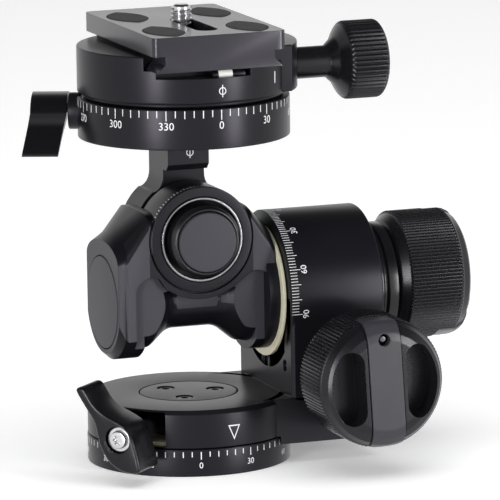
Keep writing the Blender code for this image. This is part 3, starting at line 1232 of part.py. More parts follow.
# Clamp: a round body with a dovetail channel along Y, and a jaw on its right
def clamp():
    body = turned(
        [
            (CLAMP_BOTTOM, 0),
            (CLAMP_BOTTOM, CLAMP_SPIGOT_RADIUS),
            (CLAMP_DISC_BOTTOM, CLAMP_SPIGOT_RADIUS),
            (CLAMP_DISC_BOTTOM, TOP_RADIUS - EDGE_CHAMFER),
            (CLAMP_DISC_BOTTOM + EDGE_CHAMFER, TOP_RADIUS),
            (CLAMP_TOP - EDGE_CHAMFER, TOP_RADIUS),
            (CLAMP_TOP, TOP_RADIUS - EDGE_CHAMFER),
            (CLAMP_TOP, 0),
        ],
        SIDES_LARGE,
    )
    body = piece("clamp_body", body, top_pan_axis, material=black)
    foot = DOVETAIL_HALF + SLOPE_GAP
    waist = WAIST_HALF + SLOPE_GAP
    reach = TOP_RADIUS + OVERRUN
    section = [
        (-foot, CHANNEL_FLOOR),
        (reach, CHANNEL_FLOOR),
        (reach, CLAMP_TOP + OVERRUN),
        (-waist, CLAMP_TOP + OVERRUN),
        (-waist, WAIST_BOTTOM),
        (-foot, PLATE_BOTTOM),
    ]
    channel = prism([(x, -z) for x, z in section], -reach, reach)
    combine(body, helper("dovetail_channel", channel, top_pan_axis, turn=BACKWARD))
    pocket = block(LEVEL_POCKET_LEFT, LEVEL_POCKET_RIGHT, -reach, LEVEL_POCKET_BACK,
                   CHANNEL_FLOOR - LEVEL_POCKET_DEPTH, CLAMP_TOP)
    combine(body, helper("level_pocket", pocket, top_pan_axis))
    lip_end = block(-DOVETAIL_HALF - OVERRUN / 3, -WAIST_HALF + OVERRUN, -reach, LIP_END_BACK, CHANNEL_FLOOR,
                    CLAMP_TOP + OVERRUN)
    combine(body, helper("lip_end_cut", lip_end, top_pan_axis))
    level_place = (0, LEVEL_Y, CHANNEL_FLOOR - LEVEL_DEPTH)
    level_right = LEVEL_LEFT + LEVEL_LENGTH
    seat = disc(LEVEL_LEFT - GAP, level_right + GAP, LEVEL_RADIUS + GAP, SIDES_SMALL)
    combine(body, helper("level_seat", seat, top_pan_axis, level_place, RIGHT))
    level = disc(LEVEL_LEFT, level_right, LEVEL_RADIUS, SIDES_SMALL)
    piece("bubble_level", level, top_pan_axis, level_place, RIGHT, vial)
    room = block(JAW_INNER - GAP, reach, -JAW_HALF_WIDTH - GAP, JAW_HALF_WIDTH + GAP, CLAMP_DISC_BOTTOM,
                 CLAMP_TOP + OVERRUN)
    combine(body, helper("jaw_room", room, top_pan_axis))
    axis_place = (0, 0, CLAMP_AXIS_Z)
    screw_bore = disc(CLAMP_SCREW_INNER_END - GAP, JAW_RADIUS, CLAMP_SCREW_RADIUS + GAP, SIDES_SMALL)
    combine(body, helper("clamp_screw_bore", screw_bore, top_pan_axis, axis_place, RIGHT))
    # The jaw's back follows a circle round the pan axis, and its lip hooks over the plate's dovetail
    jaw_deg = math.degrees(math.asin(JAW_HALF_WIDTH / JAW_RADIUS))
    plan = [(JAW_INNER, JAW_HALF_WIDTH), (JAW_INNER, -JAW_HALF_WIDTH)] + arc(0, 0, JAW_RADIUS, -jaw_deg, jaw_deg, ARC_POINTS)
    jaw_top = CLAMP_TOP + JAW_RISE
    jaw = prism(plan, CLAMP_DISC_BOTTOM + GAP, jaw_top)
    jaw = piece("clamp_jaw", jaw, jaw_axis, material=black)
    hook = [
        (foot, PLATE_BOTTOM),
        (JAW_INNER + OVERRUN, PLATE_BOTTOM),
        (JAW_INNER + OVERRUN, jaw_top),
        (waist, jaw_top),
        (waist, WAIST_BOTTOM),
    ]
    hook = prism([(x, -z) for x, z in hook], -JAW_HALF_WIDTH, JAW_HALF_WIDTH)
    combine(jaw, helper("jaw_hook", hook, jaw_axis, turn=BACKWARD), "UNION")
    jaw_bore = disc(JAW_INNER - OVERRUN, JAW_RADIUS + OVERRUN, CLAMP_SCREW_RADIUS + GAP, SIDES_SMALL)
    combine(jaw, helper("jaw_bore", jaw_bore, jaw_axis, axis_place, RIGHT))


def clamp_drive():
    """The clamp screw draws the jaw in, and its small ribbed knob stands on a plain neck."""
    place = (0, 0, CLAMP_AXIS_Z)
    neck_left = JAW_RADIUS + GAP
    flare_left = neck_left + CLAMP_NECK_LENGTH
    knurl_left = flare_left + CLAMP_FLARE
    knob_right = knurl_left + CLAMP_KNOB_LENGTH
    screw = disc(CLAMP_SCREW_INNER_END, flare_left, CLAMP_SCREW_RADIUS, SIDES_SMALL)
    piece("clamp_screw", screw, clamp_screw_axis, place, RIGHT, steel)
    edge = CLAMP_KNOB_EDGE
    stations = [
        (neck_left, CLAMP_NECK_RADIUS, False),
        (flare_left, CLAMP_NECK_RADIUS, False),
        (flare_left + CLAMP_FLARE / 2, CLAMP_NECK_RADIUS + CLAMP_FLARE / 2 - GAP, False),
        (knurl_left, CLAMP_KNOB_RADIUS - edge, False),
        (knurl_left + edge, CLAMP_KNOB_RADIUS, True),
        (knob_right - edge, CLAMP_KNOB_RADIUS, True),
        (knob_right, CLAMP_KNOB_RADIUS - edge, False),
    ]
    knob = ribbed(stations, CLAMP_RIB_COUNT, CLAMP_RIB_DEPTH)
    knob = piece("clamp_knob", knob, clamp_screw_axis, place, RIGHT, black)
    bore = disc(neck_left - OVERRUN, flare_left + GAP, CLAMP_SCREW_RADIUS + GAP, SIDES_SMALL)
    combine(knob, helper("clamp_knob_bore", bore, clamp_screw_axis, place, RIGHT))


# Camera plate: a dovetail below a slab, with a slot for the camera screw and four let-in pads
def camera_plate():
    back = PLATE_FRONT_Y + PLATE_LENGTH
    half_section = [
        (DOVETAIL_HALF, PLATE_BOTTOM),
        (WAIST_HALF, WAIST_BOTTOM),
        (WAIST_HALF, SLAB_UNDERSIDE),
        (PLATE_HALF_WIDTH, SLAB_UNDERSIDE),
        (PLATE_HALF_WIDTH, PLATE_TOP),
    ]
    section = half_section + [(-x, z) for x, z in reversed(half_section)]
    plate = prism([(x, -z) for x, z in section], PLATE_FRONT_Y, back)
    plate = piece("camera_plate", plate, plate_axis, turn=BACKWARD, material=lilac)
    wide, long = PLATE_HALF_WIDTH, PLATE_CORNER
    plan = [
        (-wide + long, PLATE_FRONT_Y - GAP), (wide - long, PLATE_FRONT_Y - GAP),
        (wide + GAP, PLATE_FRONT_Y + long), (wide + GAP, back - long),
        (wide - long, back + GAP), (-wide + long, back + GAP),
        (-wide - GAP, back - long), (-wide - GAP, PLATE_FRONT_Y + long),
    ]
    corners = prism(plan, PLATE_BOTTOM - OVERRUN, PLATE_TOP + OVERRUN)
    combine(plate, helper("plate_corners", corners, plate_axis), "INTERSECT")
    slot_low, slot_high = PLATE_BOTTOM - OVERRUN, PLATE_TOP + OVERRUN
    front_centre = SLOT_FRONT + SLOT_HALF_WIDTH
    slot = (
        arc(0, SLOT_BACK, SLOT_HALF_WIDTH, 0, 180, ARC_POINTS)
        + arc(0, front_centre, SLOT_HALF_WIDTH, 180, 360, ARC_POINTS)
    )
    combine(plate, helper("plate_slot", prism(slot, slot_low, slot_high), plate_axis))
    head_slot = (
        arc(0, SLOT_BACK, HEAD_SLOT_HALF_WIDTH, 0, 180, ARC_POINTS)
        + arc(0, front_centre, HEAD_SLOT_HALF_WIDTH, 180, 360, ARC_POINTS)
    )
    combine(plate, helper("screw_head_slot", prism(head_slot, slot_low, PLATE_BOTTOM + HEAD_SLOT_DEPTH), plate_axis))
    bulge = (PAD_LENGTH ** 2 + PAD_WIDTH ** 2) / (4 * PAD_WIDTH)
    sweep = math.degrees(math.asin(PAD_LENGTH / 2 / bulge))
    offset = bulge - PAD_WIDTH / 2
    pad_places = ((-PAD_X, PAD_FRONT_Y), (PAD_X, PAD_FRONT_Y), (-PAD_X, PAD_BACK_Y), (PAD_X, PAD_BACK_Y))
    lenses = [
        arc(-offset, 0, radius, -sweep, sweep, ARC_POINTS)[:-1]
        + arc(offset, 0, radius, 180 - sweep, 180 + sweep, ARC_POINTS)[:-1]
        for radius in (bulge + GAP, bulge)
    ]
    for index, (x, y) in enumerate(pad_places):
        recess = prism(lenses[0], PLATE_TOP - PAD_RECESS, PLATE_TOP + OVERRUN)
        combine(plate, helper(f"pad_recess_{index + 1}", recess, plate_axis, (x, y, 0)))
        pad = prism(lenses[1], PLATE_TOP - PAD_RECESS + GAP, PLATE_TOP + PAD_PROUD)
        piece(f"camera_pad_{index + 1}", pad, plate_axis, (x, y, 0), material=rubber)


def camera_screw():
    """A plain screw whose wide head, with a coin slot, is kept in the plate's lower slot."""
    head_top = PLATE_BOTTOM + HEAD_SLOT_DEPTH - GAP
    head_bottom = head_top - CAMERA_HEAD_THICKNESS
    tip = PLATE_TOP + CAMERA_SCREW_RISE
    screw = turned(
        [
            (head_bottom, 0),
            (head_bottom, CAMERA_HEAD_RADIUS),
            (head_top, CAMERA_HEAD_RADIUS),
            (head_top, CAMERA_SCREW_RADIUS),
            (tip - EDGE_CHAMFER, CAMERA_SCREW_RADIUS),
            (tip, CAMERA_SCREW_RADIUS - EDGE_CHAMFER),
            (tip, 0),
        ],
        SIDES_SMALL,
    )
    screw = piece("camera_screw", screw, camera_screw_axis, (0, SLOT_BACK, 0), material=steel)
    slot = block(-COIN_SLOT_HALF_WIDTH, COIN_SLOT_HALF_WIDTH, -CAMERA_HEAD_RADIUS - OVERRUN,
                 CAMERA_HEAD_RADIUS + OVERRUN, head_bottom - OVERRUN, head_bottom + COIN_SLOT_DEPTH)
    combine(screw, helper("coin_slot", slot, camera_screw_axis, (0, SLOT_BACK, 0)))


base()
pan_bracket()
worm_bushes()
lock_lever("pan_lock_lever", pan_lock_axis, PAN_LOCK_DEG, PAN_LOCK_Z, LEVER_INNER, LEVER_OUTER)
lock_parts("pan", pan_lock_axis, pan_axis, PAN_LOCK_DEG, PAN_LOCK_Z, SPINDLE_RADIUS, LEVER_OUTER, True)
tilt_cradle()
cradle_fittings()
main_spindle()
gears()
drive_knob("x", x_drive_axis, (X_WHEEL_X, -X_KNOB_REAR, X_WORM_Z), FRONTWARD, X_KNOB_TURN_DEG, X_KNOB_GAP - GAP)
drive_knob("y", y_drive_axis, (Y_KNOB_REAR, 0, Y_WORM_Z), RIGHT, Y_KNOB_TURN_DEG, 0)
stem()
top_ring()
lock_lever("top_lock_lever", top_lock_axis, TOP_LOCK_DEG, TOP_LOCK_Z, TOP_LEVER_INNER, TOP_LEVER_OUTER,
           TOP_LEVER_HEEL_SHARE, -1, TOP_LEVER_LEAN)
lock_parts("top", top_lock_axis, swing_axis, TOP_LOCK_DEG, TOP_LOCK_Z, TOP_SPINDLE_RADIUS, TOP_LEVER_OUTER, False)
clamp()
clamp_drive()
camera_plate()
camera_screw()
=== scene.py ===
"""The looks of a geared tripod head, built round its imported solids.

Sizes are millimetres from the pan axis and heights above the floor: X runs along the barrel to the right, Y to the
back, Z up. The sections follow the head from the base upwards.
"""

import math

import bmesh
import bpy
import numpy as np
from mathutils import Matrix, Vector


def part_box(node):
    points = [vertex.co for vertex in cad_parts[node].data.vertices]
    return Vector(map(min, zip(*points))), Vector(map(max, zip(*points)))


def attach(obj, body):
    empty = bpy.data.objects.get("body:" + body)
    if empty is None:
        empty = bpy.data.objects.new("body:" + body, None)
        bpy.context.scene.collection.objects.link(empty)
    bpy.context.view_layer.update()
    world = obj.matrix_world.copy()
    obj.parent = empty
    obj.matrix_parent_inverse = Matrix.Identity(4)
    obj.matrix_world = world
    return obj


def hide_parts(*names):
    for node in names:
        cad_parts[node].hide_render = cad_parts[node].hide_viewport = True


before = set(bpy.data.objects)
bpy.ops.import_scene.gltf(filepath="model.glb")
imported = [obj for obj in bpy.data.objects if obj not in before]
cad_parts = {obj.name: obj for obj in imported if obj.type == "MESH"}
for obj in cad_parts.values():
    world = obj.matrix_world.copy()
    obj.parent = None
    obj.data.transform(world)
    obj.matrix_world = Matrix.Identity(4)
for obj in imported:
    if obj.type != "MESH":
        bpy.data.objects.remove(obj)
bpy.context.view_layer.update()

# ---------------------------------------------------------------------------------------------------------------
# Base scale ring. A turned aluminium ring, black anodised with a satin bead-blasted skin. Its degree marks and
# numbers are cut in and filled with white paint. It stands on the tripod and never turns.

MM = 0.001
low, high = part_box("base_scale_ring")
PAN_AXIS = np.array([(low.x + high.x) / 2, (low.y + high.y) / 2, 0])
UP = np.eye(3)


def turned(profile, sides=180, ease=0.35, loop=False, wave=0, ribs=0):
    """A turned form about Z: the profile of (height, radius) points goes once round. Each corner is eased by a
    parabola that starts and ends up to `ease` before it. With ribs the radius drops by wave times a raised cosine of
    the angle, where a point's third number says how much of the wave it takes."""
    points = np.array([(*p, 0)[:3] for p in profile], float)
    before, after = np.roll(points, 1, 0), np.roll(points, -1, 0)
    if not loop:
        before[0], after[-1] = points[0], points[-1]

    def towards(other):
        gap = np.linalg.norm((other - points)[:, :2], axis=1, keepdims=True)
        return points + (other - points) * np.minimum(ease, gap * 0.45) / np.maximum(gap, 1e-9)

    start, end = towards(before), towards(after)
    share = np.array([0, 0.25, 0.5, 0.75, 1.0])[None, :, None]
    eased = start[:, None] * (1 - share) ** 2 + points[:, None] * 2 * share * (1 - share) + end[:, None] * share ** 2
    rows = eased.reshape(-1, 3)
    if not loop:
        rows = rows[4:-4]
    height, radius, dip = rows.T[:, :, None]
    angle = np.linspace(0, 2 * np.pi, sides, endpoint=False)[None]
    radius = np.maximum(radius, 0.002) - dip * wave * (0.5 + 0.5 * np.cos(angle * ribs)) ** 1.6
    grid = np.stack([radius * np.cos(angle), radius * np.sin(angle), height + 0 * angle], -1)
    return skin(grid, loop)


def skin(grid, loop=False):
    """Four-sided faces over a grid of points whose rows are closed rings. The rows end in a flat face each, or with
    loop the last row joins the first."""
    rows, columns = grid.shape[:2]
    index = np.arange(rows * columns).reshape(rows, columns)
    upper = np.roll(index, -1, 0) if loop else index[1:]
    lower = index if loop else index[:-1]
    faces = np.stack([lower, np.roll(lower, -1, 1), np.roll(upper, -1, 1), upper], -1).reshape(-1, 4).tolist()
    if not loop:
        faces += [index[0, ::-1].tolist(), index[-1].tolist()]
    return grid.reshape(-1, 3), faces


def together(*forms):
    """Several forms as one list of points and faces."""
    starts = np.cumsum([0] + [len(points) for points, _ in forms])
    faces = [[corner + start for corner in face] for (_, part), start in zip(forms, starts) for face in part]
    return np.concatenate([points for points, _ in forms]), faces


def placed(form, turn=UP, place=(0, 0, 0)):
    """The form turned by a 3 by 3 matrix, then moved."""
    return form[0] @ np.array(turn).T + place, form[1]


def solid(form, name="tool"):
    """The form as an object in the head's own frame, in metres, with its faces pointing outwards."""
    mesh = bpy.data.meshes.new(name)
    mesh.from_pydata((form[0] * MM + PAN_AXIS).tolist(), [], form[1])
    shell = bmesh.new()
    shell.from_mesh(mesh)
    bmesh.ops.remove_doubles(shell, verts=shell.verts, dist=1e-7)
    bmesh.ops.recalc_face_normals(shell, faces=shell.faces)
    shell.to_mesh(mesh)
    shell.free()
    made = bpy.data.objects.new(name, mesh)
    bpy.context.scene.collection.objects.link(made)
    return made


def carved(body, *tools, operation="DIFFERENCE"):
    """Cuts the tools from the body, or joins them to it, and keeps only the result. Body and tools are forms or objects."""
    body = body if isinstance(body, bpy.types.Object) else solid(body)
    tools = [tool if isinstance(tool, bpy.types.Object) else solid(tool) for tool in tools]
    for tool in tools:
        step = body.modifiers.new(tool.name, "BOOLEAN")
        step.operation, step.solver, step.object = operation, "EXACT", tool
    bpy.context.view_layer.update()
    mesh = bpy.data.meshes.new_from_object(body.evaluated_get(bpy.context.evaluated_depsgraph_get()))
    body.modifiers.clear()
    body.data = mesh
    for tool in tools:
        bpy.data.objects.remove(tool)
    return body


def mounted(made, name, body, finish, nodes=(), crease=30):
    """Names a piece, gives it its finish and hangs it on its CAD body. It stands for the nodes named."""
    made = made if isinstance(made, bpy.types.Object) else solid(made)
    made.name = made.data.name = name
    made.data.shade_smooth()
    made.data.set_sharp_from_angle(angle=math.radians(crease))
    made.data.materials.clear()
    made.data.materials.append(finish)
    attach(made, body)
    if nodes:
        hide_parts(*nodes)
    return made


class Wire:
    """The output of a shader node. Sums and products of wires and numbers add Math nodes."""

    def __init__(self, tree, socket):
        self.tree, self.socket = tree, socket

    def node(self, kind, settings=(), values=(), output=0):
        """Adds a node of that kind, makes its settings, then fills its inputs from values and wires."""
        made = self.tree.nodes.new(kind)
        for key, value in dict(settings).items():
            if key == "stops":
                for stop, (place, shade) in zip([made.color_ramp.elements[0], made.color_ramp.elements[1]], value):
                    stop.position, stop.color = place, (shade, shade, shade, 1)
            else:
                setattr(made, key, value)
        for key, value in dict(values).items():
            if isinstance(value, Wire):
                self.tree.links.new(value.socket, made.inputs[key])
            else:
                made.inputs[key].default_value = value
        return Wire(self.tree, made.outputs[output])

    def sums(self, operation, first, second):
        return self.node("ShaderNodeMath", {"operation": operation}, {0: first, 1: second})

    def __add__(self, other):
        return self.sums("ADD", self, other)

    def __sub__(self, other):
        return self.sums("SUBTRACT", self, other)

    def __mul__(self, other):
        return self.sums("MULTIPLY", self, other)

    def __rsub__(self, other):
        return self.sums("SUBTRACT", other, self)

    __radd__, __rmul__ = __add__, __mul__


def finish_start(name, roughness, metallic=0.0, **uniform):
    """A new material: its Object coordinates as a wire, and its shader, with the values that are the same all over."""
    material = bpy.data.materials.new(name)
    material.use_nodes = True
    tree = material.node_tree
    shader = tree.nodes["Principled BSDF"]
    shader.inputs["Roughness"].default_value = roughness
    shader.inputs["Metallic"].default_value = metallic
    for key, value in uniform.items():
        shader.inputs[key.replace("_", " ")].default_value = value
    coordinates = tree.nodes.new("ShaderNodeTexCoord")
    return material, Wire(tree, coordinates.outputs["Object"]), shader


def noise(where, scale, detail=2.0, roughness=0.5):
    return where.node("ShaderNodeTexNoise", (), {"Vector": where, "Scale": scale, "Detail": detail, "Roughness": roughness})


def shades(where, amount, one, two):
    """A colour between two, by an amount."""
    mix = where.node("ShaderNodeMix", {"data_type": "RGBA"}, {"Factor": amount}, output=2)
    mix.socket.node.inputs[6].default_value = (*one, 1)
    mix.socket.node.inputs[7].default_value = (*two, 1)
    return mix


def feed(shader, key, wire):
    wire.tree.links.new(wire.socket, shader.inputs[key])


def blasted(name, dark, light, roughness, edge=0.30, grain=0.25, **uniform):
    """Blasted and anodised aluminium: faint cloudy shades, a fine pitted grain, and softly broken edges."""
    material, where, shader = finish_start(name, roughness, **uniform)
    clouds = noise(where, 55, 4)
    speckle = noise(where, 2600, 2)
    feed(shader, "Base Color", shades(where, clouds * 0.7 + speckle * 0.3, dark, light))
    feed(shader, "Roughness", roughness - 0.05 + clouds * 0.06 + speckle * 0.05)
    soft = where.node("ShaderNodeBevel", {"samples": 4}, {"Radius": edge * MM})
    pits = where.node("ShaderNodeBump", (), {"Strength": grain, "Distance": 0.02 * MM, "Height": speckle, "Normal": soft})
    feed(shader, "Normal", pits)
    return material


black = blasted("black_anodised_skin", (0.0035, 0.0035, 0.005), (0.008, 0.0078, 0.010), 0.31,
                Specular_IOR_Level=0.20, Specular_Tint=(0.93, 0.90, 1.0, 1))

BASE_R = 30.0
BASE_TOP = 8.1
foot = [(0, 25.0), (0, BASE_R), (BASE_TOP, BASE_R), (BASE_TOP, 7.5), (0.8, 7.5), (0.8, 25.0)]
mounted(turned(foot, loop=True), "base_ring", "base", black, ["base_scale_ring"])

# White paint in the cut marks and numbers
paint, where, shader = finish_start("white_filled_marks", 0.55)
worn = noise(where, 1500, 3)
feed(shader, "Base Color", shades(where, worn, (0.52, 0.52, 0.54), (0.80, 0.80, 0.81)))
feed(shader, "Roughness", worn * 0.2 + 0.45)
PAINT = 0.03


def bars(across, along, width, length):
    """Flat bars on an unrolled surface: each is a small slab with its middle across and its foot along, in mm."""
    across, along = np.broadcast_arrays(np.asarray(across, float), np.asarray(along, float))
    length = np.broadcast_to(length, across.shape)
    side = np.array([-0.5, 0.5, 0.5, -0.5] * 2) * width
    rise = np.array([0, 0, 1, 1] * 2, float)
    lift = np.array([-PAINT] * 4 + [PAINT] * 4)
    points = np.stack([across[:, None] + side, along[:, None] + rise * length[:, None],
                       np.broadcast_to(lift, (len(across), 8))], -1).reshape(-1, 3)
    box = np.array([[3, 2, 1, 0], [4, 5, 6, 7], [0, 1, 5, 4], [1, 2, 6, 5], [2, 3, 7, 6], [3, 0, 4, 7]])
    faces = (box[None] + 8 * np.arange(len(across))[:, None, None]).reshape(-1, 4).tolist()
    return points, faces


def written(words, across, along, size, turn_deg=0.0, wide=0.82):
    """A number as a thin slab on an unrolled surface, centred there and turned."""
    curve = bpy.data.curves.new("number", "FONT")
    curve.body, curve.size, curve.align_x, curve.align_y = words, size, "CENTER", "CENTER"
    curve.extrude, curve.resolution_u = PAINT, 3
    lettering = bpy.data.objects.new("number", curve)
    bpy.context.scene.collection.objects.link(lettering)
    bpy.context.view_layer.update()
    mesh = bpy.data.meshes.new_from_object(lettering.evaluated_get(bpy.context.evaluated_depsgraph_get()))
    points = np.empty(len(mesh.vertices) * 3, np.float32)
    mesh.vertices.foreach_get("co", points)
    points = points.reshape(-1, 3).astype(float)
    points[:, 0] *= wide
    faces = [list(face.vertices) for face in mesh.polygons]
    bpy.data.objects.remove(lettering)
    angle = math.radians(turn_deg)
    turn = np.array([[math.cos(angle), -math.sin(angle), 0], [math.sin(angle), math.cos(angle), 0], [0, 0, 1]])
    return points @ turn.T + (across, along, 0), faces


def rolled(form, radius):
    """An unrolled surface wrapped round Z: across becomes the angle across / radius, 0 at the front and growing to
    the right, along the height, and the third number stands out from the radius."""
    across, along, out = form[0].T
    angle = across / radius
    return np.stack([(radius + out) * np.sin(angle), -(radius + out) * np.cos(angle), along], -1), form[1]


def scale_marks(radius, foot, zero_deg, tick, long_tick, number_height, size, down):
    """Marks every 5 degrees, longer at each 10, and numbers each 30, round a ring. down says which way marks hang."""
    degrees = np.arange(0, 360, 5)
    across = np.radians(degrees + zero_deg) * radius
    length = np.where(degrees % 30 == 0, long_tick, np.where(degrees % 10 == 0, tick * 1.12, tick))
    marks = bars(across, foot - length * down, 0.28, length)
    numbers = [written(str(degree), math.radians(degree + zero_deg) * radius, number_height, size, 0, 0.98)
               for degree in range(0, 360, 30)]
    return rolled(together(marks, *numbers), radius)


mounted(scale_marks(BASE_R, BASE_TOP - 0.7, -12.6, 1.5, 2.3, 3.3, 2.5, 1), "base_scale_marks", "base", paint)

# ---------------------------------------------------------------------------------------------------------------
# Retaining cap and its three screws. A black disc let into the bracket's top holds the pan spindle; its small
# steel socket screws are set in deep round seats.

CAP_R = 14.4
CAP_TOP = 19.5
SCREW_CIRCLE = 8.5
screw_degrees = (123, 3, -117)
screw_places = [(SCREW_CIRCLE * math.cos(math.radians(d)), SCREW_CIRCLE * math.sin(math.radians(d)), 0)
                for d in screw_degrees]
seat = turned([(13.0, 0), (13.0, 1.5), (18.0, 1.5), (18.0, 2.6), (19.35, 2.6), (19.8, 3.0), (19.8, 0)], 48, 0.05)
cap = carved(turned([(17.0, 0), (17.0, CAP_R), (CAP_TOP, CAP_R), (CAP_TOP, 0)], 120),
             *[placed(seat, place=place) for place in screw_places])
mounted(cap, "retaining_cap", "base", black, ["pan_retaining_cap"])


def socket_screw(top, radius, hexagon, foot, head=1.3, shank=1.2):
    """A cap screw about Z: a round head with a six-sided socket in it, which is a lofted ring of six corners."""
    body = turned([(foot, 0), (foot, shank), (top - head, shank), (top - head, radius), (top, radius), (top, 0)], 48, 0.2)
    corner = np.radians(np.arange(0, 360, 60))[None]
    height = np.array([top - 0.9, top + 0.5])[:, None]
    ring = np.stack([hexagon * np.cos(corner) + 0 * height, hexagon * np.sin(corner) + 0 * height, height + 0 * corner], -1)
    return carved(body, skin(ring))


def machined(name, colour, roughness, rings=3000, turn_mark=0.25, **uniform):
    """Turned or drawn metal: bright, with fine tool marks and slightly uneven sheen."""
    material, where, shader = finish_start(name, roughness, 1.0, **uniform)
    haze = noise(where, 240, 4)
    marks = noise(where, rings, 1)
    feed(shader, "Base Color", shades(where, haze, tuple(c * 0.80 for c in colour), colour))
    feed(shader, "Roughness", roughness - 0.07 + haze * 0.14)
    soft = where.node("ShaderNodeBevel", {"samples": 4}, {"Radius": 0.1 * MM})
    feed(shader, "Normal", where.node("ShaderNodeBump", (), {"Strength": turn_mark, "Distance": 0.01 * MM,
                                                             "Height": marks, "Normal": soft}))
    return material


steel = machined("bright_steel", (0.63, 0.63, 0.65), 0.24)
dark_steel = machined("blackened_steel", (0.10, 0.10, 0.11), 0.32)
for number, place in enumerate(screw_places):
    screw = socket_screw(19.2, 2.25, 1.25, 12.9)
    screw.data.transform(Matrix.Translation([c * MM for c in place]))
    mounted(screw, f"cap_socket_screw_{number + 1}", "base", dark_steel, [f"cap_screw_{number + 1}"])

# ---------------------------------------------------------------------------------------------------------------
# Pan bracket. One aluminium piece, milled and black anodised: the disc that turns on the base, the slab and arm
# at its right, and the barrel on top, bored for the worm, the main spindle and the brake.

DISC_R = 29.85
DISC_TOP = 19.5
ARM_LEFT, ARM_RIGHT, HALF_WIDTH = 24.4, 52.7, 22.7
TILT_Z = 48.2
WORM_X, WORM_Z = 41.1, 28.1
BARREL_R = 23.5
LOCK_DEG, LOCK_Z = 225, 14.0
RIGHTWARD = np.array([[0, 0, 1], [0, 1, 0], [-1, 0, 0]])
FRONTWARD = np.array([[1, 0, 0], [0, 0, -1], [0, 1, 0]])
BACKWARD = np.array([[1, 0, 0], [0, 0, 1], [0, -1, 0]])


def outward(degrees):
    """A turn whose Z points away from the pan axis at this angle, and whose Y points up."""
    angle = math.radians(degrees)
    return np.array([[-math.sin(angle), 0, math.cos(angle)], [math.cos(angle), 0, math.sin(angle)], [0, 1, 0]])


def sawn(outline, low, high, ease=0.0):
    """A plate whose outline of (x, y) points is seen along Z. With ease its two rims are rounded over: each ring
    of the loft moves the outline inwards along the mean of its two side normals by ease * (1 - cos t)."""
    outline = np.array(outline, float)
    before, after = outline - np.roll(outline, 1, 0), np.roll(outline, -1, 0) - outline
    normal = sum(np.stack([edge[:, 1], -edge[:, 0]], -1) / np.maximum(np.linalg.norm(edge, axis=1, keepdims=True), 1e-9)
                 for edge in (before, after))
    normal /= np.maximum(np.linalg.norm(normal, axis=1, keepdims=True), 1e-9)
    area = np.sum(outline[:, 0] * np.roll(outline[:, 1], -1) - outline[:, 1] * np.roll(outline[:, 0], -1))
    normal *= np.sign(area)
    step = np.linspace(0, np.pi / 2, 5) if ease else np.array([np.pi / 2])
    inset = np.concatenate([ease * (1 - np.sin(step)), ease * (1 - np.sin(step[::-1]))])
    height = np.concatenate([low + ease * (1 - np.cos(step)), high - ease * (1 - np.cos(step[::-1]))])
    painted_lit_faces = outline[None] - normal[None] * inset[:, None, None]
    grid = np.concatenate([painted_lit_faces, np.broadcast_to(height[:, None, None], (*painted_lit_faces.shape[:2], 1))], -1)
    grid = grid if area > 0 else grid[:, ::-1]
    return skin(grid)


def arc(x, y, radius, start, end, count=24):
    """Points on a circle, from one angle in degrees to another."""
    angle = np.radians(np.linspace(start, end, count))
    return list(zip(x + radius * np.cos(angle), y + radius * np.sin(angle)))


def rounded_box(x0, x1, y0, y1, radius=1.0):
    """A rectangle's outline with round corners."""
    return (arc(x1 - radius, y0 + radius, radius, -90, 0, 7) + arc(x1 - radius, y1 - radius, radius, 0, 90, 7)
            + arc(x0 + radius, y1 - radius, radius, 90, 180, 7) + arc(x0 + radius, y0 + radius, radius, 180, 270, 7))


def block(x0, x1, y0, y1, z0, z1):
    return sawn([(x0, y0), (x1, y0), (x1, y1), (x0, y1)], z0, z1)


disc = turned([(8.4, 13.6), (8.4, DISC_R), (18.2, DISC_R), (DISC_TOP, DISC_R - 0.8), (DISC_TOP, 14.7), (16.7, 14.7),
               (16.7, 13.6)], 200, 0.15, True)
slab = carved(sawn([(0, -HALF_WIDTH), (ARM_RIGHT - 0.9, -HALF_WIDTH), (ARM_RIGHT, -HALF_WIDTH + 0.9),
                    (ARM_RIGHT, HALF_WIDTH - 0.9), (ARM_RIGHT - 0.9, HALF_WIDTH), (0, HALF_WIDTH)], 6.0, DISC_TOP),
              turned([(2, 0), (2, 30.6), (8.4, 30.6), (8.4, 0)], 200, 0), turned([(0, 0), (0, 27), (30, 27), (30, 0)], 200, 0))
arm = sawn([(ARM_LEFT + 0.9, -HALF_WIDTH), (ARM_RIGHT - 0.9, -HALF_WIDTH), (ARM_RIGHT, -HALF_WIDTH + 0.9),
            (ARM_RIGHT, HALF_WIDTH - 0.9), (ARM_RIGHT - 0.9, HALF_WIDTH), (ARM_LEFT + 0.9, HALF_WIDTH),
            (ARM_LEFT, HALF_WIDTH - 0.9), (ARM_LEFT, -HALF_WIDTH + 0.9)], DISC_TOP - 0.9, TILT_Z)
barrel = placed(turned([(ARM_LEFT, 0), (ARM_LEFT, BARREL_R), (53.0, BARREL_R), (53.0, 0)], 200, 0.5), RIGHTWARD, (0, 0, TILT_Z))
lug = placed(sawn(rounded_box(-6.5, 6.5, 8.4 - LOCK_Z, 19.0 - LOCK_Z, 0.8), 27.5, 34.5, 0.4), outward(LOCK_DEG), (0, 0, LOCK_Z))
bracket = carved(disc, slab, arm, barrel, lug, operation="UNION")
hollow = placed(turned([(20, 0), (20, 17.2), (48.0, 17.2), (48.0, 11.3), (60, 11.3), (60, 0)], 140, 0), RIGHTWARD, (0, 0, TILT_Z))
worm_bore = placed(turned([(-30, 0), (-30, 6.0), (30, 6.0), (30, 0)], 60, 0), FRONTWARD, (WORM_X, 0, WORM_Z))
grub_bore = placed(turned([(20, 0), (20, 1.8), (36, 1.8), (36, 0)], 40, 0), RIGHTWARD, (0, -16.6, WORM_Z))
